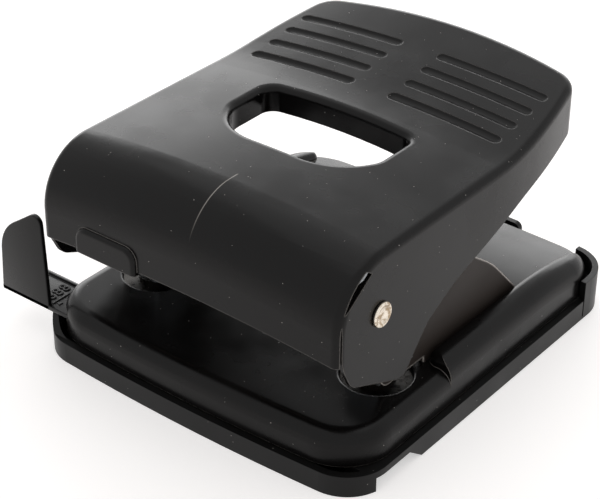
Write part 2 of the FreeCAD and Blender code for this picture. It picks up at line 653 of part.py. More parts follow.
def lever_plan(inset):
    """Plan outline: straight sides that draw in to a bowed rear edge."""
    half = LEVER_HALF_WIDTH - inset
    corner_y = LEVER_REAR - LEVER_REAR_BOW - inset
    front = NOSE_FRONT - 10

    def half_at(y):
        return half - (y - LEVER_TAPER_START) ** 2 / (2 * LEVER_TAPER_RADIUS)

    middle_y = (LEVER_TAPER_START + corner_y) / 2
    right = [V(half, front, LEVER_LOW - 2), V(half, LEVER_TAPER_START, LEVER_LOW - 2),
             V(half_at(middle_y), middle_y, LEVER_LOW - 2), V(half_at(corner_y), corner_y, LEVER_LOW - 2)]
    left = [V(-point.x, point.y, point.z) for point in right]
    rear = V(0, LEVER_REAR - inset, LEVER_LOW - 2)
    edges = [
        Part.makeLine(right[0], right[1]),
        Part.Arc(right[1], right[2], right[3]).toShape(),
        Part.Arc(right[3], rear, left[3]).toShape(),
        Part.Arc(left[3], left[2], left[1]).toShape(),
        Part.makeLine(left[1], left[0]),
        Part.makeLine(left[0], right[0]),
    ]
    block = Part.Face(Part.Wire(edges)).extrude(V(0, 0, FAR))
    corners = [edge for edge in upright_edges(block) if edge.BoundBox.YMin > corner_y - 1]
    return block.makeFillet(LEVER_REAR_CORNER - inset, corners)


def rim_edges(form):
    """Edges all round the top of the lever form, without the seams across it."""
    rim = []
    for edge in form.Edges:
        bounds = edge.BoundBox
        at_bottom = bounds.ZMax < LEVER_LOW + 1
        upright = bounds.XLength < SAME and bounds.YLength < SAME
        across = bounds.XLength > LEVER_HALF_WIDTH and bounds.YLength < 1
        if not (at_bottom or upright or across):
            rim.append(edge)
    return rim


def lever_loft(half, inset):
    """Everything under the lever's crowned top and behind its nose."""
    sections = [lever_section(half * share, inset) for share in (-1, -0.5, 0, 0.5, 1)]
    return Part.makeLoft(sections, True, False)


def lever_form(inset):
    """Outside of the pressed lever, or its inside when inset by the steel."""
    form = lever_loft(LEVER_HALF_WIDTH - inset, inset).common(lever_plan(inset))
    return form.makeFillet(LEVER_EDGE_RADIUS - inset, rim_edges(form))


def relief_front():
    """Front edge of the flanges in side view, set back so the nose bends down free of them."""
    return [
        (RELIEF_REAR - RELIEF_SLANT_Y, RELIEF_TOP + RELIEF_SLANT_Z, 0),
        (RELIEF_REAR, RELIEF_TOP, 0),
        (FLANGE_FRONT, RELIEF_CORNER, 2.0),
    ]


def flange_outline():
    """Side view of the lever without its nose."""
    return relief_front() + [
        (FLANGE_FRONT, PIVOT_Z - 8.5, 14.0),
        (-58.6, PIVOT_Z - 16.6, 6.0),
        (-36.0, PIVOT_Z - 26.4, 4.0),
        (-25.5, PIVOT_Z - 14.0, 10.0),
        (-14.0, PIVOT_Z - 7.8, 40.0),
        (20.0, PIVOT_Z + 3.2, 80.0),
        (46.5, PIVOT_Z + 7.8, 20.0),
        (52.0, PIVOT_Z + 8.6, 3.0),
        (57.0, PIVOT_Z + 17.0, 0),
        (LEVER_REAR + 5, PIVOT_Z + 17.0, 0),
        (LEVER_REAR + 5, FAR / 2, 0),
        (RELIEF_REAR - RELIEF_SLANT_Y, FAR / 2, 0),
    ]


def nose_outline():
    """Side view of the space that the free nose skin lies in."""
    return relief_front() + [
        (FLANGE_FRONT, NOSE_BOTTOM - NOSE_RADIUS, 0),
        (NOSE_FRONT - 5, NOSE_BOTTOM - NOSE_RADIUS, 0),
        (NOSE_FRONT - 5, RELIEF_TOP + RELIEF_SLANT_Z, 0),
    ]


def nose_flap():
    """The nose skin from the relief down: free ends with rounded edges, arched lower edge."""
    half = LEVER_HALF_WIDTH
    flap = lever_form(0).common(side_prism(nose_outline(), -half, half))
    flap = flap.cut(lever_loft(half + 5, LEVER_STEEL))
    arch = Part.makeCylinder(NOSE_BOTTOM_RADIUS, 4 * LEVER_STEEL,
                             V(0, NOSE_FRONT - LEVER_STEEL, NOSE_BOTTOM - NOSE_BOTTOM_RADIUS), V(0, 1, 0))
    return flap.cut(arch)


def hand_hole_column(outset):
    """Upright column through the fingers' opening, a rounded D in plan."""
    half = HAND_HOLE_HALF_WIDTH
    front_half = HAND_HOLE_FRONT_HALF
    corners = [
        (-half, HAND_HOLE_REAR, HAND_HOLE_REAR_CORNER),
        (0, HAND_HOLE_REAR + HAND_HOLE_REAR_BOW, HAND_HOLE_REAR_RADIUS),
        (half, HAND_HOLE_REAR, HAND_HOLE_REAR_CORNER),
        (half, HAND_HOLE_SIDE, HAND_HOLE_SIDE_CORNER),
        (front_half, HAND_HOLE_FRONT, HAND_HOLE_FRONT_CORNER),
        (-front_half, HAND_HOLE_FRONT, HAND_HOLE_FRONT_CORNER),
        (-half, HAND_HOLE_SIDE, HAND_HOLE_SIDE_CORNER),
    ]
    wire = rounded_wire(corners, lambda u, v: V(u, v, LEVER_LOW - 1))
    if outset:
        wire = wire.makeOffset2D(outset)
    return Part.Face(wire).extrude(V(0, 0, FAR))


def pierced(form, column, roll):
    """Form without the column, its top edge rolled over into the opening."""
    opened = form.cut(column)
    limits = column.BoundBox
    limits.enlarge(0.1)
    rim = []
    for edge in opened.Edges:
        bounds = edge.BoundBox
        within = bounds.XMin > limits.XMin and bounds.XMax < limits.XMax
        within = within and bounds.YMin > limits.YMin and bounds.YMax < limits.YMax
        if within and bounds.ZMin > LEVER_TOP - HAND_HOLE_LIP / 2:
            rim.append(edge)
    return opened.makeFillet(roll, rim)


def lever_skin():
    """Pressed skin of one thickness, rolled down into a collar round the hand opening."""
    outside = pierced(lever_form(0), hand_hole_column(0), HAND_HOLE_ROLL)
    collar = hand_hole_column(LEVER_STEEL).cut(lever_loft(LEVER_HALF_WIDTH, HAND_HOLE_LIP))
    return outside.cut(pierced(lever_form(LEVER_STEEL), collar, HAND_HOLE_ROLL - LEVER_STEEL))


def grip_groove(y, side):
    """Shallow round-ended groove that follows the crown of the lever."""
    rise = max(0.0, y - LEVER_KNEE_Y) * math.tan(math.radians(LEVER_REAR_RISE))
    axis_radius = LEVER_CROWN_RADIUS + GROOVE_RADIUS - GROOVE_DEPTH
    centre = V(0, y, LEVER_TOP + rise - LEVER_CROWN_RADIUS)
    start = math.asin(GROOVE_INNER_X / axis_radius)
    end = math.asin((LEVER_HALF_WIDTH - GROOVE_FROM_SIDE) / axis_radius)
    bar = Part.makeTorus(axis_radius, GROOVE_RADIUS, V(0, 0, 0), V(0, 0, 1), -180, 180,
                         math.degrees(end - start))
    bar.rotate(V(0, 0, 0), V(1, 0, 0), 90)
    bar.rotate(V(0, 0, 0), V(0, 1, 0), math.degrees(end) - 90)
    bar.translate(centre)
    for angle in (start, end):
        place = centre + V(axis_radius * math.sin(angle), 0, axis_radius * math.cos(angle))
        bar = bar.fuse(Part.makeSphere(GROOVE_RADIUS, place))
    return bar if side > 0 else mirrored(bar)


def nose_lug():
    low = NOSE_BOTTOM - LUG_LEFT ** 2 / (2 * NOSE_BOTTOM_RADIUS)
    corners = [
        (LUG_LEFT, low, 0),
        (LUG_RIGHT, low, 0),
        (LUG_RIGHT, LUG_TOP, 4.0),
        (LUG_LEFT, LUG_TOP, 4.0),
    ]
    lug = front_prism(corners, NOSE_FRONT - LUG_RISE, NOSE_FRONT + LEVER_STEEL / 2)
    front = [edge for edge in lug.Edges if edge.BoundBox.YMax < NOSE_FRONT - LUG_RISE + SAME
             and edge.BoundBox.ZMax > low + SAME]
    return lug.makeFillet(LUG_RISE * 0.9, front)


def lever_shell():
    wide = LEVER_HALF_WIDTH + 1
    shell = lever_skin().common(side_prism(flange_outline(), -wide, wide)).fuse(nose_flap())
    for row in range(GROOVE_COUNT):
        for side in (1, -1):
            shell = shell.cut(grip_groove(GROOVE_FIRST_Y + row * GROOVE_PITCH, side))
    shell = shell.fuse(nose_lug())
    return shell.cut(cross_cylinder(-wide, wide, PIVOT_Y, PIVOT_Z, AXLE_RADIUS))


# ================================================================ hinge and press bar
def pivot_axle():
    reach = LEVER_HALF_WIDTH + AXLE_HEAD_HEIGHT
    axle = cross_cylinder(-LEVER_HALF_WIDTH, LEVER_HALF_WIDTH, PIVOT_Y, PIVOT_Z, AXLE_RADIUS)
    dish_radius = (AXLE_HEAD_RADIUS * 0.7) ** 2 / (2 * AXLE_HEAD_DISH) + AXLE_HEAD_DISH / 2
    for side in (1, -1):
        start = min(side * LEVER_HALF_WIDTH, side * reach)
        head = cross_cylinder(start, start + AXLE_HEAD_HEIGHT, PIVOT_Y, PIVOT_Z, AXLE_HEAD_RADIUS)
        outer_edges = [edge for edge in head.Edges
                       if edge.BoundBox.XLength < SAME and abs(edge.BoundBox.XMax) > reach - SAME]
        head = head.makeFillet(AXLE_HEAD_HEIGHT * 0.4, outer_edges)
        ball = Part.makeSphere(dish_radius, V(side * (reach + dish_radius - AXLE_HEAD_DISH), PIVOT_Y, PIVOT_Z))
        axle = axle.fuse(head.cut(ball))
    return axle.removeSplitter()


def axle_spacers():
    spacers = []
    x0 = FRAME_OUTER_X + SIDE_CLEARANCE
    for side in (1, -1):
        ring = cross_cylinder(x0, FLANGE_INNER_X, PIVOT_Y, PIVOT_Z, SPACER_RADIUS)
        ring = ring.cut(cross_cylinder(x0, FLANGE_INNER_X, PIVOT_Y, PIVOT_Z, AXLE_RADIUS + RUNNING_FIT))
        spacers.append(ring if side > 0 else mirrored(ring))
    return Part.makeCompound(spacers)


def press_bar():
    """Channel hung under the lever's skin; its web pushes on both pins."""
    half = FRAME_INNER_X - PRESS_BAR_SIDE_GAP
    steel = PRESS_BAR_STEEL
    low = PIN_TOP + PRESS_GAP
    outline = box(-half, half, PRESS_BAR_FRONT, PRESS_BAR_REAR, low, LEVER_TOP)
    hollow = box(-half, half, PRESS_BAR_FRONT + steel, PRESS_BAR_REAR - steel, low + steel, LEVER_TOP)
    channel = outline.cut(hollow)
    foot = box(-half, half, PRESS_BAR_FRONT - PRESS_BAR_FOOT, PRESS_BAR_FRONT + steel, low, LEVER_TOP)
    channel = channel.fuse(foot.cut(lever_loft(half, LEVER_STEEL + steel)))
    skin = lever_loft(half + 1, LEVER_STEEL)
    return channel.common(skin).removeSplitter()


# ================================================================ punch pins
def punch_pin(side):
    x = side * PUNCH_X
    pin = upright_cylinder(x, PUNCH_Y, PIN_RADIUS, PIN_TIP, PIN_TOP - PIN_HEAD_HEIGHT)
    head = upright_cylinder(x, PUNCH_Y, PIN_HEAD_RADIUS, PIN_TOP - PIN_HEAD_HEIGHT, PIN_TOP)
    head = head.common(Part.makeSphere(PIN_DOME_RADIUS, V(x, PUNCH_Y, PIN_TOP - PIN_DOME_RADIUS)))
    groove = upright_cylinder(x, PUNCH_Y, PIN_RADIUS + 1, CLIP_BOTTOM, CLIP_TOP)
    groove = groove.cut(upright_cylinder(x, PUNCH_Y, PIN_RADIUS - CLIP_GROOVE_DEPTH, CLIP_BOTTOM, CLIP_TOP))
    notch = rounded_wire([
        (PUNCH_Y - PIN_RADIUS, PIN_TIP - SAME, 0),
        (PUNCH_Y + PIN_RADIUS, PIN_TIP - SAME, 0),
        (PUNCH_Y, PIN_TIP + PIN_TIP_NOTCH, 0),
    ], side_plane, V(x - PIN_RADIUS, 0, 0))
    notch = Part.Face(notch).extrude(V(2 * PIN_RADIUS, 0, 0))
    return pin.fuse(head).removeSplitter().cut(groove).cut(notch)


def pin_washer(side):
    x = side * PUNCH_X
    washer = upright_cylinder(x, PUNCH_Y, WASHER_RADIUS, WASHER_BOTTOM, CLIP_BOTTOM)
    return washer.cut(upright_cylinder(x, PUNCH_Y, PIN_RADIUS + RUNNING_FIT, WASHER_BOTTOM, CLIP_BOTTOM))


def pin_clip(side):
    x = side * PUNCH_X
    inner = PIN_RADIUS - CLIP_GROOVE_DEPTH
    clip = upright_cylinder(x, PUNCH_Y, CLIP_RADIUS, CLIP_BOTTOM, CLIP_TOP)
    clip = clip.cut(upright_cylinder(x, PUNCH_Y, inner, CLIP_BOTTOM, CLIP_TOP))
    mouth = box(x - inner * 0.8, x + inner * 0.8, PUNCH_Y - FAR, PUNCH_Y, CLIP_BOTTOM, CLIP_TOP)
    return clip.cut(mouth)


def punch_spring(side):
    bottom = GUIDE_BLOCK_TOP + SPRING_WIRE
    height = WASHER_BOTTOM - SPRING_WIRE - bottom
    path = Part.makeHelix(height / SPRING_TURNS, height, SPRING_RADIUS)
    slope = height / SPRING_TURNS / (2 * math.pi * SPRING_RADIUS)
    start = Part.makeCircle(SPRING_WIRE, V(SPRING_RADIUS, 0, 0), V(0, 1, slope))
    coil = Part.Wire(path.Edges).makePipeShell([Part.Wire([start])], True, True)
    coil.translate(V(side * PUNCH_X, PUNCH_Y, bottom))
    return coil


# ================================================================ paper guide
def raised_eight(x, y, height):
    """Figure eight of two small rings, read from the front."""
    rings = []
    for dy in (-1.0, 1.0):
        ring = upright_cylinder(x, y + dy, 1.3, RULER_TOP - height, RULER_TOP + height)
        rings.append(ring.cut(upright_cylinder(x, y + dy, 0.8, RULER_TOP - height, RULER_TOP + height)))
    return joined(rings)


def paper_guide():
    ruler = side_prism([
        (RULER_FRONT, RULER_BOTTOM, RULER_EDGE_RADIUS),
        (RULER_FRONT, RULER_TOP, 0),
        (RULER_REAR, RULER_TOP, 0),
        (RULER_REAR, RULER_BOTTOM, 0),
    ], RULER_LEFT, RULER_RIGHT)
    rim = box(RULER_LEFT, RULER_RIGHT, RULER_REAR - RULER_RIM_WIDTH, RULER_REAR, RULER_BOTTOM,
              RULER_TOP + RULER_RIM)
    flag = front_prism([
        (RULER_LEFT, RULER_BOTTOM, 0),
        (RULER_LEFT + FLAG_LEAN, FLAG_SHOULDER, FLAG_SHOULDER_RADIUS),
        (FLAG_RIGHT - FLAG_LEAN, FLAG_TOP, FLAG_CORNER_RADIUS),
        (FLAG_RIGHT, RULER_BOTTOM, 0),
    ], RULER_FRONT, RULER_FRONT + FLAG_THICKNESS)
    guide = joined([ruler, rim, flag])
    mark = box(MARK_X - MARK_WIDTH / 2, MARK_X + MARK_WIDTH / 2, RULER_FRONT + FLAG_THICKNESS,
               RULER_REAR - RULER_RIM_WIDTH, RULER_TOP - MARK_DEPTH, FAR)
    guide = guide.cut(mark)
    middle = (RULER_FRONT + RULER_REAR) / 2
    for step in range(DIGIT_COUNT):
        y = middle + (step - (DIGIT_COUNT - 1) / 2) * DIGIT_PITCH
        eight = raised_eight(DIGIT_X, y, MARK_DEPTH)
        eight.rotate(V(DIGIT_X, y, 0), V(0, 0, 1), 90)
        guide = guide.fuse(eight)
    return guide.removeSplitter()


# ================================================================ chad tray
def post_places():
    return [(side * TRAY_POST_X, y) for side in (-1, 1) for y in (TRAY_POST_FRONT_Y, TRAY_POST_REAR_Y)]


def notch_outline(margin):
    return [
        (NOTCH_FRONT - margin, -1, 0),
        (NOTCH_FRONT - margin, NOTCH_HEIGHT + margin, 0),
        (NOTCH_REAR, NOTCH_HEIGHT + margin, 0),
        (NOTCH_REAR + NOTCH_RAMP + margin, -1, 0),
    ]


def chad_tray():
    pan = tray_block(0, 0, TRAY_SKIRT_TOP).cut(tray_block(TRAY_WALL, TRAY_FLOOR, TRAY_SKIRT_TOP))
    half = TRAY_HALF_WIDTH
    front = TRAY_FRONT - END_BOW
    rear = TRAY_REAR + END_BOW
    lips = tray_block(0, TRAY_SKIRT_TOP - LIP_WALL, LIP_TOP)
    lips = lips.cut(tray_block(LIP_WALL, TRAY_SKIRT_TOP - LIP_WALL, LIP_TOP))
    low = TRAY_SKIRT_TOP - LIP_WALL
    sill = RULER_BOTTOM - SIDE_CLEARANCE
    regions = [
        side_prism([(front, low, 0), (front, TRAY_SKIRT_TOP, 0), (LIP_RAMP_FRONT, TRAY_SKIRT_TOP, 0),
                    (LIP_RAMP_REAR, sill, 0), (RULER_REAR, sill, 0), (RULER_REAR, low, 0)], -half, 0),
        box(LIP_REAR_START_X, half, LIP_REAR_START_Y, rear, low, LIP_TOP),
        front_prism([(-LIP_MIDDLE_HALF, low, 0), (LIP_MIDDLE_HALF, low, 0),
                     (LIP_MIDDLE_HALF, LIP_TOP, LIP_END_RADIUS), (-LIP_MIDDLE_HALF, LIP_TOP, LIP_END_RADIUS)],
                    0, rear + 1),
    ]
    for region in regions:
        pan = pan.fuse(lips.common(region))
    lining = side_prism(notch_outline(TRAY_WALL), half - NOTCH_DEPTH - TRAY_WALL, half)
    lining = lining.common(tray_block(0, 0, TRAY_SKIRT_TOP))
    pan = pan.fuse(lining).cut(side_prism(notch_outline(0), half - NOTCH_DEPTH, half + 1))
    seam = box(half - SEAM_LINE, half + 1, LIP_REAR_START_Y - SEAM_LINE, LIP_REAR_START_Y, 1, LIP_TOP)
    pan = pan.cut(seam)
    for x, y in post_places():
        pan = pan.fuse(upright_cylinder(x, y, TRAY_POST_RADIUS, TRAY_FLOOR, PLATE_HEIGHT - SIDE_CLEARANCE))
        pan = pan.fuse(upright_cylinder(x, y, TRAY_SPIGOT_RADIUS, TRAY_FLOOR, PLATE_TOP - RUNNING_FIT))
    return pan.removeSplitter()


# ================================================================ files
def parts():
    made = {
        "base_cover": base_cover(),
        "base_plate": base_plate(),
        "base_screws": base_screws(),
        "guide_channel": guide_channel(),
        "frame_rivets": frame_rivets(),
        "lever_shell": lever_shell(),
        "pivot_axle": pivot_axle(),
        "axle_spacers": axle_spacers(),
        "press_bar": press_bar(),
        "paper_guide": paper_guide(),
        "chad_tray": chad_tray(),
    }
    for name, side in (("left", -1), ("right", 1)):
        made["side_frame_" + name] = side_frame(side)
        made["pin_guide_" + name] = pin_guide(side)
        made["die_" + name] = die(side)
        made["punch_pin_" + name] = punch_pin(side)
        made["pin_washer_" + name] = pin_washer(side)
        made["pin_clip_" + name] = pin_clip(side)
        made["punch_spring_" + name] = punch_spring(side)
    return made


def main():
    os.makedirs("parts", exist_ok=True)
    for name, shape in parts().items():
        if not shape.isValid() or shape.Volume <= 0:
            raise ValueError(name + " isn't a sound solid")
        shape.exportStep("parts/" + name + ".step")
        bounds = shape.BoundBox
        print(name, len(shape.Solids), round(shape.Volume, 1),
              [round(v, 2) for v in (bounds.XMin, bounds.XMax, bounds.YMin, bounds.YMax,
                                     bounds.ZMin, bounds.ZMax)])


main()
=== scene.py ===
"""Looks of a two-hole desk punch: stoved enamel, plated steel and moulded plastic, for Blender 4.5."""
import json
import math

import bmesh
import bpy
from bpy.props import FloatProperty, FloatVectorProperty, IntProperty, PointerProperty
from mathutils import Matrix, Vector


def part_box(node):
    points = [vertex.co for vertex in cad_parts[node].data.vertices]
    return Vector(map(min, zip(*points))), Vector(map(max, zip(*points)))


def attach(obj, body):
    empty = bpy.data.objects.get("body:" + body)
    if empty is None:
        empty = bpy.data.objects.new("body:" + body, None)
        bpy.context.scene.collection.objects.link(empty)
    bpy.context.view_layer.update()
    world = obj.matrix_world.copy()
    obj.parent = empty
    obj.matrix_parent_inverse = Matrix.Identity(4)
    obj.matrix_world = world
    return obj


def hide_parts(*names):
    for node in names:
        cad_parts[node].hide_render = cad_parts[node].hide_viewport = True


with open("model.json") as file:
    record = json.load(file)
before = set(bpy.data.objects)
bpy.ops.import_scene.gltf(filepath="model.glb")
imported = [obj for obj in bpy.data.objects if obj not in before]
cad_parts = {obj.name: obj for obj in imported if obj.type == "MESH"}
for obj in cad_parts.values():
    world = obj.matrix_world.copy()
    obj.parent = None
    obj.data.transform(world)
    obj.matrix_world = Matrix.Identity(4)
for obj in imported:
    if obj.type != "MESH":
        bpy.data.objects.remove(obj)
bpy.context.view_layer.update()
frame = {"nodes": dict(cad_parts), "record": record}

bl_info = {
    "name": "Desk Punch",
    "version": (1, 0, 0),
    "blender": (4, 5, 0),
    "location": "View3D > Sidebar > Desk Punch",
    "description": "Dresses a two-hole desk punch: enamel, plated steel, plastics and its studio",
    "category": "Object",
}

MM = 0.001

WHITE = (1.0, 1.0, 1.0, 1.0)

# Thin pale line near the middle of the nose, fading towards the bottom
NOSE_LINE_X = 2.0 * MM
NOSE_LINE_EDGE = (0.22 * MM, 0.08 * MM)       # gone at the first distance, full inside the second
NOSE_LINE_START = (-43.0 * MM, -43.6 * MM)    # where the top turns down into the nose
NOSE_LINE_FADE = (58.0 * MM, 69.0 * MM)       # faint at the lower height, full at the upper


# ------------------------------------------------------------------ colour and nodes
def linear(hex_colour):
    """sRGB hex to the linear colour that a shader socket takes."""
    value = hex_colour.lstrip("#")
    channels = []
    for start in (0, 2, 4):
        c = int(value[start:start + 2], 16) / 255
        channels.append(c / 12.92 if c <= 0.04045 else ((c + 0.055) / 1.055) ** 2.4)
    return (*channels, 1.0)


def add_node(tree, kind, settings=None, links=None):
    """Adds a node, sets its properties and sockets, and links its inputs."""
    node = tree.nodes.new(kind)
    for key, value in (settings or {}).items():
        if isinstance(key, str) and key not in node.inputs:
            setattr(node, key, value)
        else:
            node.inputs[key].default_value = value
    for key, source in (links or {}).items():
        tree.links.new(source, node.inputs[key])
    return node


def new_material(name):
    material = bpy.data.materials.new(name)
    material.use_nodes = True
    material.node_tree.nodes.clear()
    return material, material.node_tree


def per_mm(size):
    """Texture scale for a pattern whose features are this many millimetres apart."""
    return 1.0 / (size * MM)


def object_place(tree):
    """Where on the piece a point lies, in metres."""
    return add_node(tree, "ShaderNodeTexCoord").outputs["Object"]


def noise(tree, place, size, detail=2.0, roughness=0.5):
    return add_node(tree, "ShaderNodeTexNoise",
                    {"Scale": per_mm(size), "Detail": detail, "Roughness": roughness},
                    {"Vector": place}).outputs["Fac"]


def ramp(tree, value, low, high, out_low=0.0, out_high=1.0):
    """Value between low and high spread smoothly over out_low to out_high."""
    return add_node(tree, "ShaderNodeMapRange",
                    {"interpolation_type": "SMOOTHSTEP", "From Min": low, "From Max": high,
                     "To Min": out_low, "To Max": out_high}, {"Value": value}).outputs["Result"]


def maths(tree, operation, first, second=None):
    """One sum of two values, each a number or a socket."""
    node = add_node(tree, "ShaderNodeMath", {"operation": operation})
    for index, value in enumerate((first, second)):
        if isinstance(value, (int, float)):
            node.inputs[index].default_value = value
        elif value is not None:
            tree.links.new(value, node.inputs[index])
    return node.outputs[0]


def mixed_colour(tree, share, first, second):
    """First linear colour where share is 0, second where it is 1."""
    return add_node(tree, "ShaderNodeMix", {"data_type": "RGBA", 6: first, 7: second},
                    {"Factor": share}).outputs[2]


def from_axis(tree, first, second):
    """Distance from an axis, for a point this far from it in two square directions."""
    squares = [maths(tree, "MULTIPLY", side, side) for side in (first, second)]
    return maths(tree, "SQRT", maths(tree, "ADD", *squares))


def tool_rings(tree, radius, pitch):
    """Wave of rings round an axis, one for each pitch in millimetres."""
    return maths(tree, "SINE", maths(tree, "MULTIPLY", radius, 2 * math.pi / (pitch * MM)))


def rounded_normal(tree, radius, samples):
    """Normal of the surface as if its sharp edges had this radius in millimetres."""
    return add_node(tree, "ShaderNodeBevel",
                    {"samples": samples, "Radius": radius * MM}).outputs["Normal"]


def edge_wear_and_highlight(tree, rounded, low, high):
    """1 where the rounded normal leaves the surface's own, at sharp edges, and 0 on the flats: the mask
    of pale edge lines that are partly wear and partly painted highlight.
    """
    flat = add_node(tree, "ShaderNodeNewGeometry")
    turned = add_node(tree, "ShaderNodeVectorMath", {"operation": "DOT_PRODUCT"},
                      {0: rounded, 1: flat.outputs["Normal"]})
    return ramp(tree, maths(tree, "SUBTRACT", 1.0, turned.outputs["Value"]), low, high)


def bumped(tree, height, distance, strength=1.0, normal=None):
    links = {"Height": height}
    if normal is not None:
        links["Normal"] = normal
    return add_node(tree, "ShaderNodeBump", {"Strength": strength, "Distance": distance * MM},
                    links).outputs["Normal"]


def finish_material(tree, shader_socket):
    add_node(tree, "ShaderNodeOutputMaterial", links={"Surface": shader_socket})


def background_seen(tree):
    """1 for the rays that show the white background: from the camera, off gloss and through glass."""
    path = add_node(tree, "ShaderNodeLightPath").outputs
    direct = maths(tree, "MAXIMUM", path["Is Camera Ray"], path["Is Glossy Ray"])
    return maths(tree, "MAXIMUM", direct, path["Is Transmission Ray"])


# ------------------------------------------------------------------ sizes and colours
class PunchSizes(bpy.types.PropertyGroup):
    """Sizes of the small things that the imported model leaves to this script."""
    rivet_radius: FloatProperty(
        name="Rivet head radius", description="Radius of a frame rivet's head",
        default=2.8 * MM, unit="LENGTH")
    rivet_height: FloatProperty(
        name="Rivet head height", description="Height of a frame rivet's domed head",
        default=1.0 * MM, unit="LENGTH")
    hinge_dish: FloatProperty(
        name="Hinge dish", description="Depth of the dish spun into the hinge rivet's heads",
        default=0.75 * MM, unit="LENGTH")
    digit_size: FloatProperty(
        name="Digit size", description="Type size of the raised sheet-format digits",
        default=5.3 * MM, unit="LENGTH")
    digit_height: FloatProperty(
        name="Digit height", description="How far the digits stand out of the ruler",
        default=0.25 * MM, unit="LENGTH")
    ruler_edge: FloatProperty(
        name="Ruler edge", description="Radius along the ruler's and flag's edges",
        default=0.3 * MM, unit="LENGTH")
    lint_radius: FloatProperty(
        name="Lint radius", description="Radius of a fleck of paper dust",
        default=0.13 * MM, unit="LENGTH")
    lint_density: FloatProperty(
        name="Lint density", description="Flecks of paper dust on a square metre",
        default=9000.0)
    lint_seed: IntProperty(
        name="Lint seed", description="Which scatter of flecks is taken", default=7)


class PunchColours(bpy.types.PropertyGroup):
    """Colours of the finishes."""
    enamel: FloatVectorProperty(
        name="Enamel", description="Black stoving enamel", subtype="COLOR", size=4,
        default=linear("#0b0a0a"))
    plastic: FloatVectorProperty(
        name="Plastic", description="Black moulded polystyrene", subtype="COLOR", size=4,
        default=linear("#0f0f0f"))
    nickel: FloatVectorProperty(
        name="Nickel", description="Nickelled steel of the hinge rivet", subtype="COLOR", size=4,
        default=linear("#e6ddcf"))
    zinc: FloatVectorProperty(
        name="Zinc", description="Bright zinc plate", subtype="COLOR", size=4,
        default=linear("#b4b8bc"))
    lint: FloatVectorProperty(
        name="Lint", description="Paper dust", subtype="COLOR", size=4,
        default=linear("#dcdad6"))


# ------------------------------------------------------------------ materials
def pale_nose_line(tree, place):
    """1 on a short thin pale line near the middle of the nose, fading down the front."""
    parts = add_node(tree, "ShaderNodeSeparateXYZ", links={"Vector": place})
    aside = maths(tree, "ABSOLUTE", maths(tree, "SUBTRACT", parts.outputs["X"], NOSE_LINE_X))
    thin = ramp(tree, aside, *NOSE_LINE_EDGE)
    front = ramp(tree, parts.outputs["Y"], *NOSE_LINE_START)
    upper = ramp(tree, parts.outputs["Z"], *NOSE_LINE_FADE)
    return maths(tree, "MULTIPLY", maths(tree, "MULTIPLY", thin, front), upper)


def black_enamel(name, colour, gloss, edge_radius, edge_wear_and_highlight_colour, edge_wear_and_highlight_share):
    """Black enamel on pressed steel: faint orange peel and smears under the gloss, and a pale line along
    sharp edges that is partly bare metal where the coat is thin and partly a painted highlight."""
    material, tree = new_material(name)
    place = object_place(tree)
    peel = noise(tree, place, 1.1, 1.0)
    waves = noise(tree, place, 14.0, 1.0)
    smears = noise(tree, place, 22.0, 3.0, 0.6)
    roughness = ramp(tree, smears, 0.3, 0.75, gloss, gloss + 0.12)
    rounded = rounded_normal(tree, edge_radius, 6)
    # Pale edge lines: partly bare metal where the coat is thin, partly a painted highlight on the edges.
    edge = maths(tree, "MULTIPLY", edge_wear_and_highlight(tree, rounded, 0.03, 0.2), edge_wear_and_highlight_share)
    pale_lines = maths(tree, "MAXIMUM", edge, pale_nose_line(tree, place))
    base = mixed_colour(tree, pale_lines, colour, linear(edge_wear_and_highlight_colour))
    height = maths(tree, "ADD", maths(tree, "MULTIPLY", peel, 0.25), waves)
    normal = bumped(tree, height, 0.035, 0.5, rounded)
    shader = add_node(tree, "ShaderNodeBsdfPrincipled", {"IOR": 1.27},
                      {"Base Color": base, "Roughness": roughness, "Normal": normal,
                       "Metallic": maths(tree, "MULTIPLY", pale_lines, 0.25)})
    finish_material(tree, shader.outputs[0])
    return material


def moulded_plastic(name, colour, roughness, grain):
    """Moulded polystyrene: a satin skin with the fine grain of an etched mould."""
    material, tree = new_material(name)
    place = object_place(tree)
    texture = noise(tree, place, grain, 2.0, 0.6)
    flow = noise(tree, place, 18.0, 2.0)
    rough = ramp(tree, flow, 0.3, 0.7, roughness - 0.05, roughness + 0.06)
    normal = bumped(tree, texture, 0.02, 0.5, rounded_normal(tree, 0.2, 4))
    shader = add_node(tree, "ShaderNodeBsdfPrincipled", {"Base Color": colour, "IOR": 1.3},
                      {"Roughness": rough, "Normal": normal})
    finish_material(tree, shader.outputs[0])
    return material


def zinc_plate(colour):
    """Bright zinc plate: pale bluish metal, cloudy where the bath left it uneven."""
    material, tree = new_material("bright zinc plate")
    place = object_place(tree)
    clouds = noise(tree, place, 5.0, 3.0, 0.6)
    grain = noise(tree, place, 0.5, 2.0)
    base = mixed_colour(tree, ramp(tree, clouds, 0.35, 0.7), colour, linear("#8f9396"))
    shader = add_node(tree, "ShaderNodeBsdfPrincipled", {"Metallic": 1.0},
                      {"Base Color": base, "Roughness": ramp(tree, clouds, 0.3, 0.7, 0.26, 0.42),
                       "Normal": bumped(tree, grain, 0.01, 0.4)})
    finish_material(tree, shader.outputs[0])
    return material


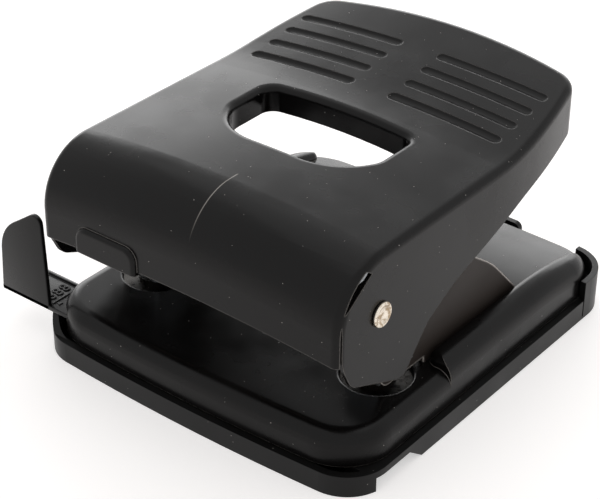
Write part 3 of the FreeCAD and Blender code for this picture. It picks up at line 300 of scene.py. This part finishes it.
def turned_steel():
    """Dark tool steel turned on a lathe: fine dark rings round each punch axis."""
    material, tree = new_material("oil-blacked tool steel")
    parts = add_node(tree, "ShaderNodeSeparateXYZ", links={"Vector": object_place(tree)})
    low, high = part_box("die_right")
    either_side = maths(tree, "ABSOLUTE", parts.outputs["X"])
    across = maths(tree, "SUBTRACT", either_side, (low[0] + high[0]) / 2)
    along = maths(tree, "SUBTRACT", parts.outputs["Y"], (low[1] + high[1]) / 2)
    rings = tool_rings(tree, from_axis(tree, across, along), 0.35)
    haze = noise(tree, object_place(tree), 2.5, 2.0)
    shader = add_node(tree, "ShaderNodeBsdfPrincipled",
                      {"Metallic": 1.0, "Base Color": linear("#3a3836"), "Anisotropic": 0.4},
                      {"Roughness": ramp(tree, haze, 0.3, 0.7, 0.22, 0.36),
                       "Normal": bumped(tree, rings, 0.004, 0.6)})
    finish_material(tree, shader.outputs[0])
    return material


def spun_nickel(colour):
    """Nickelled steel spun into a rivet head: warm, ringed by the tool, with a brown film."""
    material, tree = new_material("spun nickelled steel")
    parts = add_node(tree, "ShaderNodeSeparateXYZ", links={"Vector": object_place(tree)})
    low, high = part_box("pivot_axle")
    along = maths(tree, "SUBTRACT", parts.outputs["Y"], (low[1] + high[1]) / 2)
    up = maths(tree, "SUBTRACT", parts.outputs["Z"], (low[2] + high[2]) / 2)
    rings = tool_rings(tree, from_axis(tree, along, up), 0.45)
    film = ramp(tree, noise(tree, object_place(tree), 2.2, 3.0, 0.6), 0.45, 0.6)
    base = mixed_colour(tree, film, colour, linear("#a8957c"))
    shader = add_node(tree, "ShaderNodeBsdfPrincipled", {"Metallic": 1.0},
                      {"Base Color": base, "Roughness": ramp(tree, film, 0.0, 1.0, 0.2, 0.34),
                       "Normal": bumped(tree, rings, 0.012, 0.8)})
    finish_material(tree, shader.outputs[0])
    return material


def drawn_wire():
    """Spring wire: bright drawn steel, dulled here and there by fine scuffs."""
    material, tree = new_material("drawn spring wire")
    scuffs = noise(tree, object_place(tree), 0.8, 3.0, 0.7)
    shader = add_node(tree, "ShaderNodeBsdfPrincipled",
                      {"Metallic": 1.0, "Base Color": linear("#a9abac")},
                      {"Roughness": ramp(tree, scuffs, 0.3, 0.7, 0.2, 0.4)})
    finish_material(tree, shader.outputs[0])
    return material


def paper_lint(colour):
    """Lint from punched paper: a dull white fibre."""
    material, tree = new_material("paper lint")
    fibre = noise(tree, object_place(tree), 0.1, 2.0)
    base = mixed_colour(tree, fibre, colour, linear("#a8a6a2"))
    shader = add_node(tree, "ShaderNodeBsdfPrincipled", {"Roughness": 0.9}, {"Base Color": base})
    finish_material(tree, shader.outputs[0])
    return material


def finishes():
    """Every finish by its slot's name, made once; the side frames get the black enamel lightened, painted
    light for the shade they sit in.
    """
    colours = bpy.context.scene.punch_colours
    made = {material.name: material for material in bpy.data.materials}
    if "stoved black enamel" not in made:
        # Lever and cover: grey edge lines, partly bare steel and partly painted highlight.
        black_enamel("stoved black enamel", tuple(colours.enamel), 0.2, 0.5, "#8d8a86", 0.7)
        # Side frames: black enamel lightened to #322d2a as painted light for the shade under the lever,
        # with near-white painted highlights on their edges.
        black_enamel("dipped black enamel", linear("#322d2a"), 0.45, 1.2, "#f2eee8", 1.0)
        zinc_plate(tuple(colours.zinc))
        turned_steel()
        drawn_wire()
        spun_nickel(tuple(colours.nickel))
        moulded_plastic("plain black polystyrene", tuple(colours.plastic), 0.42, 0.5)
        moulded_plastic("polished black polystyrene", tuple(colours.plastic), 0.27, 0.8)
        moulded_plastic("grained black polystyrene", tuple(colours.plastic), 0.36, 0.45)
        paper_lint(tuple(colours.lint))
        made = {material.name: material for material in bpy.data.materials}
    return {
        "black_enamel": made["stoved black enamel"],
        "lightened_frame_enamel": made["dipped black enamel"],
        "zinc_plate": made["bright zinc plate"],
        "hard_steel": made["oil-blacked tool steel"],
        "spring_steel": made["drawn spring wire"],
        "nickel": made["spun nickelled steel"],
        "black_plastic": made["plain black polystyrene"],
        "guide_plastic": made["polished black polystyrene"],
        "tray_plastic": made["grained black polystyrene"],
        "lint": made["paper lint"],
    }


# ------------------------------------------------------------------ mesh helpers
def new_piece(name, mesh, body, slot, smooth=True):
    """Puts a finished mesh in the scene and ties it to its body and finish."""
    piece = bpy.data.objects.new(name, mesh)
    bpy.context.scene.collection.objects.link(piece)
    if smooth:
        mesh.shade_smooth()
    if not mesh.materials:
        mesh.materials.append(finishes()[slot])
    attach(piece, body)
    return piece


def plain_mesh(source, name):
    """What an object's modifiers make, as a mesh of its own."""
    graph = bpy.context.evaluated_depsgraph_get()
    mesh = bpy.data.meshes.new_from_object(source.evaluated_get(graph))
    mesh.name = name
    return mesh


def bevelled(mesh, width, segments=3, angle=30.0):
    """The mesh with its sharp edges rounded."""
    helper = bpy.data.objects.new("helper", mesh)
    bpy.context.scene.collection.objects.link(helper)
    bevel = helper.modifiers.new("edges", "BEVEL")
    bevel.width = width
    bevel.segments = segments
    bevel.limit_method = "ANGLE"
    bevel.angle_limit = math.radians(angle)
    bevel.harden_normals = False
    result = plain_mesh(helper, mesh.name)
    bpy.data.objects.remove(helper)
    return result


def prism(outline, lift, name):
    """Closed prism of a flat outline of points, moved along lift."""
    form = bmesh.new()
    face = form.faces.new([form.verts.new(point) for point in outline])
    made = bmesh.ops.extrude_face_region(form, geom=[face])
    moved = [item for item in made["geom"] if isinstance(item, bmesh.types.BMVert)]
    bmesh.ops.translate(form, verts=moved, vec=lift)
    bmesh.ops.recalc_face_normals(form, faces=form.faces)
    mesh = bpy.data.meshes.new(name)
    form.to_mesh(mesh)
    form.free()
    return mesh


def turned(profile, segments, name):
    """Solid turned about X through the origin, from (along, radius) points, axis to axis."""
    form = bmesh.new()
    points = [form.verts.new((along, 0.0, radius)) for along, radius in profile]
    edges = [form.edges.new(pair) for pair in zip(points, points[1:])]
    bmesh.ops.spin(form, geom=points + edges, axis=(1, 0, 0), cent=(0, 0, 0),
                   angle=2 * math.pi, steps=segments, use_merge=True)
    bmesh.ops.remove_doubles(form, verts=form.verts, dist=1e-7)
    bmesh.ops.recalc_face_normals(form, faces=form.faces)
    mesh = bpy.data.meshes.new(name)
    form.to_mesh(mesh)
    form.free()
    return mesh


def arc(centre, radius, start, end, count):
    """Points on an arc in a plane, angles in degrees."""
    angles = [math.radians(start + (end - start) * i / count) for i in range(count + 1)]
    return [(centre[0] + radius * math.cos(a), centre[1] + radius * math.sin(a)) for a in angles]


def joined_mesh(meshes, name):
    """One mesh of several."""
    form = bmesh.new()
    for mesh in meshes:
        form.from_mesh(mesh)
    result = bpy.data.meshes.new(name)
    form.to_mesh(result)
    form.free()
    return result


def node_tree(name, inputs):
    """Empty geometry node tree with the given named inputs and one geometry output."""
    tree = bpy.data.node_groups.new(name, "GeometryNodeTree")
    tree.interface.new_socket("Geometry", in_out="INPUT", socket_type="NodeSocketGeometry")
    for label, kind in inputs:
        tree.interface.new_socket(label, in_out="INPUT", socket_type=kind)
    tree.interface.new_socket("Geometry", in_out="OUTPUT", socket_type="NodeSocketGeometry")
    return tree, add_node(tree, "NodeGroupInput").outputs


def end_tree(tree, geometry):
    """Realize Instances and Set Material close every tree."""
    material = tree.nodes["Group Input"].outputs["Material"]
    real = add_node(tree, "GeometryNodeRealizeInstances", links={"Geometry": geometry})
    named = add_node(tree, "GeometryNodeSetMaterial",
                     links={"Geometry": real.outputs[0], "Material": material})
    add_node(tree, "NodeGroupOutput", links={"Geometry": named.outputs[0]})


def grown(mesh, tree, values, name):
    """Plain mesh that a node tree makes on a mesh, its inputs set by the sockets' identifiers."""
    helper = bpy.data.objects.new("helper", mesh)
    bpy.context.scene.collection.objects.link(helper)
    modifier = helper.modifiers.new("grown", "NODES")
    modifier.node_group = tree
    for item in tree.interface.items_tree:
        if item.item_type == "SOCKET" and item.in_out == "INPUT" and item.name in values:
            modifier[item.identifier] = values[item.name]
    result = plain_mesh(helper, name)
    bpy.data.objects.remove(helper)
    return result


# ------------------------------------------------------------------ frame rivets
def rivet_tree():
    """A rivet head stood on every point, turned along the point's normal."""
    tree, given = node_tree("rivet heads", [("Head", "NodeSocketObject"),
                                            ("Material", "NodeSocketMaterial")])
    head = add_node(tree, "GeometryNodeObjectInfo", {"transform_space": "ORIGINAL"},
                    {"Object": given["Head"]})
    points = add_node(tree, "GeometryNodeMeshToPoints", links={"Mesh": given["Geometry"]})
    outward = add_node(tree, "GeometryNodeInputNamedAttribute",
                       {"data_type": "FLOAT_VECTOR", "Name": "outward"})
    turn = add_node(tree, "FunctionNodeAlignRotationToVector", {"axis": "X"},
                    {"Vector": outward.outputs["Attribute"]})
    stood = add_node(tree, "GeometryNodeInstanceOnPoints",
                     links={"Points": points.outputs[0], "Instance": head.outputs["Geometry"],
                            "Rotation": turn.outputs[0]})
    end_tree(tree, stood.outputs[0])
    return tree


def rivet_profile(sizes):
    """Half section of a domed head with a small flat lip, sitting on the plane X = 0."""
    radius, height = sizes.rivet_radius, sizes.rivet_height
    turns = [math.radians(angle) for angle in range(0, 91, 10)]
    dome = [(height * math.sin(t), radius * math.cos(t)) for t in turns]
    return [(0.0, 0.0), (0.0, radius * 0.97)] + dome[:-1] + [(height, 0.0)]


def islands(mesh):
    """Low and high corner of every loose part of a mesh, once its doubles are merged."""
    form = bmesh.new()
    form.from_mesh(mesh)
    bmesh.ops.remove_doubles(form, verts=form.verts, dist=1e-6)
    left = set(form.verts)
    found = []
    while left:
        queue = [left.pop()]
        part = []
        while queue:
            vert = queue.pop()
            part.append(vert.co.copy())
            for edge in vert.link_edges:
                other = edge.other_vert(vert)
                if other in left:
                    left.remove(other)
                    queue.append(other)
        low = Vector([min(p[i] for p in part) for i in range(3)])
        high = Vector([max(p[i] for p in part) for i in range(3)])
        found.append((low, high))
    form.free()
    return found


class PUNCH_OT_frame_rivets(bpy.types.Operator):
    """Domed heads on the rivets that hold the pin guides and the side frames"""
    bl_idname = "punch.frame_rivets"
    bl_label = "Frame rivets"

    SHANK_SHARE = 0.56            # of the head's radius

    def execute(self, context):
        sizes = context.scene.punch_sizes
        shanks = []
        places = []
        outward = []
        for low, high in islands(frame["nodes"]["frame_rivets"].data):
            middle = (low + high) / 2
            size = high - low
            upright = size.z > size.x
            ends = (low.z, high.z) if upright else (low.x, high.x)
            directions = (-1, 1) if upright else ((1,) if middle.x > 0 else (-1,))
            for sign in directions:
                end = ends[1] if sign > 0 else ends[0]
                base = end - sign * sizes.rivet_height
                places.append((middle.x, middle.y, base) if upright else (base, middle.y, middle.z))
                outward.append((0, 0, sign) if upright else (sign, 0, 0))
            shanks.append(self.shank(low, high, upright, sizes))
        seeds = bpy.data.meshes.new("rivet places")
        seeds.from_pydata(places, [], [])
        attribute = seeds.attributes.new("outward", "FLOAT_VECTOR", "POINT")
        for item, direction in zip(attribute.data, outward):
            item.vector = direction
        head = bpy.data.objects.new("rivet head", turned(rivet_profile(sizes), 40, "rivet head"))
        context.scene.collection.objects.link(head)
        values = {"Head": head, "Material": finishes()["zinc_plate"]}
        heads = grown(seeds, rivet_tree(), values, "heads")
        bpy.data.objects.remove(head)
        mesh = joined_mesh([heads] + shanks, "rivet_heads")
        mesh.materials.append(finishes()["zinc_plate"])
        piece = new_piece("rivet_heads", mesh, "base", "zinc_plate")
        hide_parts("frame_rivets")
        return {"FINISHED"}

    def shank(self, low, high, upright, sizes):
        """Shank between the heads, from face to face of what the rivet holds."""
        inset = sizes.rivet_height
        if upright:
            start, end = low.z + inset, high.z - inset
        elif high.x > 0:
            start, end = low.x, high.x - inset
        else:
            start, end = low.x + inset, high.x
        radius = sizes.rivet_radius * self.SHANK_SHARE
        mesh = turned([(0, 0), (0, radius), (end - start, radius), (end - start, 0)], 24, "shank")
        if upright:
            mesh.transform(Matrix.Rotation(math.radians(-90), 4, "Y"))
            place = Vector(((low.x + high.x) / 2, (low.y + high.y) / 2, start))
        else:
            place = Vector((start, (low.y + high.y) / 2, (low.z + high.z) / 2))
        mesh.transform(Matrix.Translation(place))
        return mesh


# ------------------------------------------------------------------ hinge rivet
RIM_SHARE = 0.42                  # rolled rim's radius, of the head's height
# From the rim to the middle: share of the head's radius, share of the dish's depth
DISH_SECTION = ((0.8, 0.0), (0.72, 0.25), (0.56, 0.75), (0.38, 1.0), (0.2, 1.0), (0.08, 0.8), (0.0, 0.78))


def hinge_profile(half, radius, head, height, dish):
    """Half section of a long rivet: rolled rim, spun dish and a centre pip on both heads."""
    lip = height * RIM_SHARE
    outer = half + height
    turns = [math.radians(angle) for angle in range(0, 91, 15)]
    rim = [(outer - lip + lip * math.sin(t), head - lip + lip * math.cos(t)) for t in turns]
    bowl = [(outer - dish * deep, head * out) for out, deep in DISH_SECTION]
    right = [(half, radius), (half, head - lip * 0.4), (half + lip * 0.4, head)] + rim + bowl
    left = [(-along, r) for along, r in reversed(right)]
    return left + right


class PUNCH_OT_hinge_rivet(bpy.types.Operator):
    """Long rivet that the lever turns on, with spun heads"""
    bl_idname = "punch.hinge_rivet"
    bl_label = "Hinge rivet"

    SHANK_RADIUS = 2.5 * MM
    HEAD_RADIUS = 3.6 * MM
    HEAD_HEIGHT = 1.1 * MM
    HEAD_SPACE = 1.5 * MM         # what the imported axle's own heads take at each end

    def execute(self, context):
        sizes = context.scene.punch_sizes
        low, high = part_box("pivot_axle")
        half = high[0] - self.HEAD_SPACE
        profile = hinge_profile(half, self.SHANK_RADIUS, self.HEAD_RADIUS, self.HEAD_HEIGHT,
                                sizes.hinge_dish)
        mesh = turned(profile, 72, "hinge_rivet")
        mesh.transform(Matrix.Translation((0, (low[1] + high[1]) / 2, (low[2] + high[2]) / 2)))
        piece = new_piece("hinge_rivet", mesh, "lever", "nickel")
        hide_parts("pivot_axle")
        return {"FINISHED"}


# ------------------------------------------------------------------ paper guide
class PUNCH_OT_paper_guide(bpy.types.Operator):
    """Moulded ruler with its upright flag, format digits, mark and pointer"""
    bl_idname = "punch.paper_guide"
    bl_label = "Paper guide"

    RULER_TOP = 12.6 * MM
    RIM_WIDTH = 1.2 * MM
    RIM_HEIGHT = 0.7 * MM
    FLAG_THICKNESS = 1.5 * MM
    FLAG_RIGHT = -56.6 * MM
    FLAG_LEAN = 0.9 * MM
    FLAG_SHOULDER_HEIGHT = 13.6 * MM
    FLAG_SHOULDER_RADIUS = 14.0 * MM
    FLAG_CORNER_RADIUS = 2.6 * MM
    FLAG_SLANT = math.radians(30)
    MARK_X = -56.5 * MM
    MARK_WIDTH = 0.55 * MM
    MARK_SUNK, MARK_DEPTH = 0.3 * MM, 0.6 * MM
    DIGITS = "888"
    DIGITS_X = -59.6 * MM
    DIGITS_SPREAD = 1.08
    DIGITS_EDGE = 0.04 * MM
    POINTER_TIP = (-55.9 * MM, -57.2 * MM)
    POINTER_SIZE = 1.5 * MM
    POINTER_HALF_SHARE = 0.6      # of its size
    POINTER_SUNK = 0.2 * MM

    def execute(self, context):
        sizes = context.scene.punch_sizes
        low, high = (Vector(corner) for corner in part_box("paper_guide"))
        edge = sizes.ruler_edge
        parts = [
            bevelled(self.ruler(low, high), edge, 2),
            bevelled(self.flag(low, high), edge, 3),
            bevelled(self.mark(low, high), edge / 3, 1),
            bevelled(self.pointer(sizes), edge / 4, 1),
            self.digits(sizes, (low.y + self.FLAG_THICKNESS + high.y - self.RIM_WIDTH) / 2),
        ]
        mesh = joined_mesh(parts, "ruler_and_flag")
        piece = new_piece("ruler_and_flag", mesh, "guide", "guide_plastic", smooth=False)
        mesh.shade_smooth()
        mesh.set_sharp_from_angle(angle=math.radians(40))
        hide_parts("paper_guide")
        return {"FINISHED"}

    def ruler(self, low, high):
        """Flat bar with a raised rear rim, drawn in side view."""
        top, rim = self.RULER_TOP, self.RULER_TOP + self.RIM_HEIGHT
        step = high.y - self.RIM_WIDTH
        corners = [(low.y, low.z), (high.y, low.z), (high.y, rim), (step, rim), (step, top), (low.y, top)]
        return prism([(low.x, y, z) for y, z in corners], (high.x - low.x, 0, 0), "ruler")

    def flag(self, low, high):
        """Upright plate whose left shoulder is one large curve, drawn in front view."""
        left, right, top = low.x, self.FLAG_RIGHT, high.z
        big, small = self.FLAG_SHOULDER_RADIUS, self.FLAG_CORNER_RADIUS
        turn = 90 + math.degrees(self.FLAG_SLANT)
        tip = (right - self.FLAG_LEAN - small, top - small)
        shoulder = (left + self.FLAG_LEAN + big, low.z + self.FLAG_SHOULDER_HEIGHT)
        outline = [(left, low.z), (right, low.z)]
        outline += arc(tip, small, 0, turn, 8) + arc(shoulder, big, turn, 180, 14)
        return prism([(x, low.y, z) for x, z in outline], (0, self.FLAG_THICKNESS, 0), "flag")

    def mark(self, low, high):
        """Raised line that lines up with the end of the base."""
        x0, x1 = self.MARK_X - self.MARK_WIDTH / 2, self.MARK_X + self.MARK_WIDTH / 2
        y0, y1 = low.y + self.FLAG_THICKNESS, high.y - self.RIM_WIDTH
        z = self.RULER_TOP - self.MARK_SUNK
        outline = [(x0, y0, z), (x1, y0, z), (x1, y1, z), (x0, y1, z)]
        return prism(outline, (0, 0, self.MARK_DEPTH), "mark")

    def pointer(self, sizes):
        """Small raised triangle beside the line."""
        x, y = self.POINTER_TIP
        half = self.POINTER_SIZE * self.POINTER_HALF_SHARE
        back = x + self.POINTER_SIZE
        z = self.RULER_TOP - self.POINTER_SUNK
        outline = [(x, y, z), (back, y - half, z), (back, y + half, z)]
        return prism(outline, (0, 0, self.POINTER_SUNK + sizes.digit_height), "pointer")

    def digits(self, sizes, middle_y):
        """Raised sheet-format digits that read along the ruler's width."""
        curve = bpy.data.curves.new("digits", "FONT")
        curve.body = self.DIGITS
        curve.size = sizes.digit_size
        curve.space_character = self.DIGITS_SPREAD
        curve.align_x, curve.align_y = "CENTER", "CENTER"
        curve.extrude = sizes.digit_height
        curve.bevel_depth = self.DIGITS_EDGE
        text = bpy.data.objects.new("digits", curve)
        bpy.context.scene.collection.objects.link(text)
        mesh = plain_mesh(text, "digits")
        bpy.data.objects.remove(text)
        mesh.transform(Matrix.Translation((self.DIGITS_X, middle_y, self.RULER_TOP))
                       @ Matrix.Rotation(math.radians(90), 4, "Z"))
        return mesh


# ------------------------------------------------------------------ paper dust
def lint_tree():
    """Flecks scattered on the faces that look up or sideways, flattened onto the surface."""
    tree, given = node_tree("paper lint", [
        ("Density", "NodeSocketFloat"), ("Radius", "NodeSocketFloat"),
        ("Seed", "NodeSocketInt"), ("Material", "NodeSocketMaterial")])
    normal = add_node(tree, "GeometryNodeInputNormal").outputs[0]
    height = add_node(tree, "ShaderNodeSeparateXYZ", links={"Vector": normal}).outputs["Z"]
    open_face = add_node(tree, "FunctionNodeCompare", {"operation": "GREATER_THAN", "B": -0.25},
                         {"A": height}).outputs[0]
    points = add_node(tree, "GeometryNodeDistributePointsOnFaces", {"distribute_method": "RANDOM"},
                      {"Mesh": given["Geometry"], "Selection": open_face,
                       "Density": given["Density"], "Seed": given["Seed"]})
    fleck = add_node(tree, "GeometryNodeMeshIcoSphere", {"Subdivisions": 1},
                     {"Radius": given["Radius"]})
    size = add_node(tree, "FunctionNodeRandomValue",
                    {"data_type": "FLOAT_VECTOR", 0: (0.35, 0.35, 0.2), 1: (1.5, 1.0, 0.5)},
                    {"Seed": given["Seed"]})
    stood = add_node(tree, "GeometryNodeInstanceOnPoints",
                     links={"Points": points.outputs["Points"], "Instance": fleck.outputs["Mesh"],
                            "Rotation": points.outputs["Rotation"], "Scale": size.outputs[0]})
    end_tree(tree, stood.outputs[0])
    return tree


def merged_copy(node):
    """Copy of a CAD node's mesh with its doubles merged."""
    form = bmesh.new()
    form.from_mesh(frame["nodes"][node].data)
    bmesh.ops.remove_doubles(form, verts=form.verts, dist=1e-6)
    mesh = bpy.data.meshes.new(node)
    form.to_mesh(mesh)
    form.free()
    return mesh


class PUNCH_OT_lint(bpy.types.Operator):
    """Specks of paper dust on the lever and the base"""
    bl_idname = "punch.lint"
    bl_label = "Paper dust"

    def execute(self, context):
        sizes = context.scene.punch_sizes
        tree = lint_tree()
        dusty = (("lever_shell", "lever", "lever_lint"), ("base_cover", "base", "cover_lint"),
                 ("chad_tray", "tray", "tray_lint"))
        for step, (node, body, name) in enumerate(dusty):
            values = {"Density": sizes.lint_density, "Radius": sizes.lint_radius,
                      "Seed": sizes.lint_seed + step, "Material": finishes()["lint"]}
            mesh = grown(merged_copy(node), tree, values, name)
            new_piece(name, mesh, body, "lint", smooth=False)
        return {"FINISHED"}


# ------------------------------------------------------------------ finishes of the CAD nodes
class PUNCH_OT_finishes(bpy.types.Operator):
    """Gives every carried-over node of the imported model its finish"""
    bl_idname = "punch.finishes"
    bl_label = "Finishes"

    def execute(self, context):
        slots = {part["node"]: part["material_slot"] for part in frame["record"]["subparts"]}
        table = finishes()
        for name, node in frame["nodes"].items():
            # Side frames take the lightened enamel: painted light for their shade.
            finish = "lightened_frame_enamel" if name.startswith("side_frame") else slots[name]
            node.data.materials.clear()
            node.data.materials.append(table[finish])
        return {"FINISHED"}


# ------------------------------------------------------------------ stage
class PUNCH_OT_stage(bpy.types.Operator):
    """Camera, pale floor, two softboxes and a white surround"""
    bl_idname = "punch.stage"
    bl_label = "Stage"

    CAMERA_PLACE = Vector((266.5, -350.7, 300.7)) * MM
    AZIMUTH, ELEVATION, ROLL = (math.radians(a) for a in (38.4035, 32.0663, 0.2504))
    LENS = 106.99
    FLOOR_HALF = 3.0
    FLOOR_GLOW = 0.5
    SWEEP = 1.2
    SWEEP_LOW, SWEEP_TOP = 0.06, 0.74
    SWEEP_SIDE, SWEEP_MIDDLE = 0.64, 0.9
    SWEEP_TURN = math.radians(6)
    ROOM_FILL = 0.6
    ROOM_TINT = (1.0, 0.945, 0.92, 1.0)
    # name, place, what it points at, size, power, gloss
    SOFTBOXES = (
        ("overhead fill", (-0.15, 0.2, 0.9), (0, 0, 40 * MM), (0.9, 0.9), 1.2, 0.0),
        ("rear softbox", (-0.75, 0.95, 0.34), (0, 0, 30 * MM), (1.4, 0.6), 7.0, 1.0),
    )

    def execute(self, context):
        scene = context.scene
        self.camera(scene)
        self.floor(scene)
        self.surround(scene)
        for softbox in self.SOFTBOXES:
            self.softbox(scene, *softbox)
        scene.view_settings.view_transform = "Standard"
        return {"FINISHED"}

    def camera(self, scene):
        data = bpy.data.cameras.new("camera")
        data.sensor_width = 36.0
        data.lens = self.LENS
        data.clip_start, data.clip_end = 0.01, 20.0
        camera = bpy.data.objects.new("camera", data)
        level = math.cos(self.ELEVATION)
        forward = Vector((-math.sin(self.AZIMUTH) * level, math.cos(self.AZIMUTH) * level,
                          -math.sin(self.ELEVATION)))
        side = Vector((math.cos(self.AZIMUTH), math.sin(self.AZIMUTH), 0.0))
        up = side.cross(forward)
        right = side * math.cos(self.ROLL) + up * math.sin(self.ROLL)
        up = right.cross(forward)
        place = Matrix((right, up, -forward)).transposed().to_4x4()
        place.translation = self.CAMERA_PLACE
        camera.matrix_world = place
        scene.collection.objects.link(camera)
        scene.camera = camera

    def floor(self, scene):
        """Matt pale paper, lifted to white for the camera and for what gloss and glass show of it."""
        half = self.FLOOR_HALF
        mesh = bpy.data.meshes.new("floor")
        mesh.from_pydata([(-half, -half, 0), (half, -half, 0), (half, half, 0), (-half, half, 0)],
                         [], [(0, 1, 2, 3)])
        floor = bpy.data.objects.new("floor", mesh)
        scene.collection.objects.link(floor)
        material, tree = new_material("matt white paper")
        fibre = noise(tree, object_place(tree), 1.5, 3.0)
        base = mixed_colour(tree, fibre, linear("#e6e6e6"), linear("#ececec"))
        paper = add_node(tree, "ShaderNodeBsdfPrincipled", {"Roughness": 0.95}, {"Base Color": base})
        lit = add_node(tree, "ShaderNodeEmission", {"Color": WHITE, "Strength": self.FLOOR_GLOW})
        both = add_node(tree, "ShaderNodeAddShader")
        tree.links.new(paper.outputs[0], both.inputs[0])
        tree.links.new(lit.outputs[0], both.inputs[1])
        glow = add_node(tree, "ShaderNodeMixShader", links={"Fac": background_seen(tree)})
        tree.links.new(paper.outputs[0], glow.inputs[1])
        tree.links.new(both.outputs[0], glow.inputs[2])
        finish_material(tree, glow.outputs[0])
        mesh.materials.append(material)

    def surround(self, scene):
        """White backdrop for the camera, gloss and glass; as light it is brightest low at the back."""
        world = bpy.data.worlds.new("studio")
        scene.world = world
        world.use_nodes = True
        tree = world.node_tree
        tree.nodes.clear()
        direction = add_node(tree, "ShaderNodeTexCoord").outputs["Generated"]
        height = add_node(tree, "ShaderNodeSeparateXYZ", links={"Vector": direction}).outputs["Z"]
        turn = self.AZIMUTH + self.SWEEP_TURN
        behind = (-math.sin(turn), math.cos(turn), 0.0)
        facing = add_node(tree, "ShaderNodeVectorMath", {"operation": "DOT_PRODUCT", 1: behind},
                          {0: direction}).outputs["Value"]
        low = ramp(tree, height, self.SWEEP_TOP, self.SWEEP_LOW)
        steep = maths(tree, "MULTIPLY", height, height)
        level = maths(tree, "SQRT", maths(tree, "SUBTRACT", 1.0, steep))
        near = ramp(tree, maths(tree, "DIVIDE", facing, level), self.SWEEP_SIDE, self.SWEEP_MIDDLE)
        sweep = maths(tree, "MULTIPLY", maths(tree, "MULTIPLY", low, near), self.SWEEP)
        seen = background_seen(tree)
        room = maths(tree, "ADD", self.ROOM_FILL, sweep)
        lit = maths(tree, "MULTIPLY", maths(tree, "SUBTRACT", 1.0, seen), room)
        tint = mixed_colour(tree, seen, self.ROOM_TINT, WHITE)
        back = add_node(tree, "ShaderNodeBackground",
                        links={"Color": tint, "Strength": maths(tree, "ADD", seen, lit)})
        add_node(tree, "ShaderNodeOutputWorld", links={"Surface": back.outputs[0]})

    def softbox(self, scene, name, place, target, size, power, gloss):
        data = bpy.data.lights.new(name, "AREA")
        data.shape = "RECTANGLE"
        data.size, data.size_y = size
        data.energy = power
        data.specular_factor = gloss
        lamp = bpy.data.objects.new(name, data)
        lamp.location = place
        lamp.rotation_euler = (Vector(target) - Vector(place)).to_track_quat("-Z", "Y").to_euler()
        scene.collection.objects.link(lamp)


# ------------------------------------------------------------------ panel and running
class PUNCH_PT_panel(bpy.types.Panel):
    bl_label = "Desk Punch"
    bl_idname = "PUNCH_PT_panel"
    bl_space_type = "VIEW_3D"
    bl_region_type = "UI"
    bl_category = "Desk Punch"

    def draw(self, context):
        layout = self.layout
        for group in (context.scene.punch_sizes, context.scene.punch_colours):
            column = layout.column()
            for name in group.bl_rna.properties.keys():
                if name not in ("rna_type", "name"):
                    column.prop(group, name)
        for step in STEPS:
            layout.operator(step.bl_idname)


STEPS = (PUNCH_OT_stage, PUNCH_OT_finishes, PUNCH_OT_frame_rivets, PUNCH_OT_hinge_rivet,
         PUNCH_OT_paper_guide, PUNCH_OT_lint)
CLASSES = (PunchSizes, PunchColours) + STEPS + (PUNCH_PT_panel,)


def register():
    for item in CLASSES:
        bpy.utils.register_class(item)
    bpy.types.Scene.punch_sizes = PointerProperty(type=PunchSizes)
    bpy.types.Scene.punch_colours = PointerProperty(type=PunchColours)


def unregister():
    del bpy.types.Scene.punch_colours
    del bpy.types.Scene.punch_sizes
    for item in reversed(CLASSES):
        bpy.utils.unregister_class(item)


def main():
    register()
    for step in STEPS:
        family, action = step.bl_idname.split(".")
        getattr(getattr(bpy.ops, family), action)()


if __name__ == "__main__":
    main()
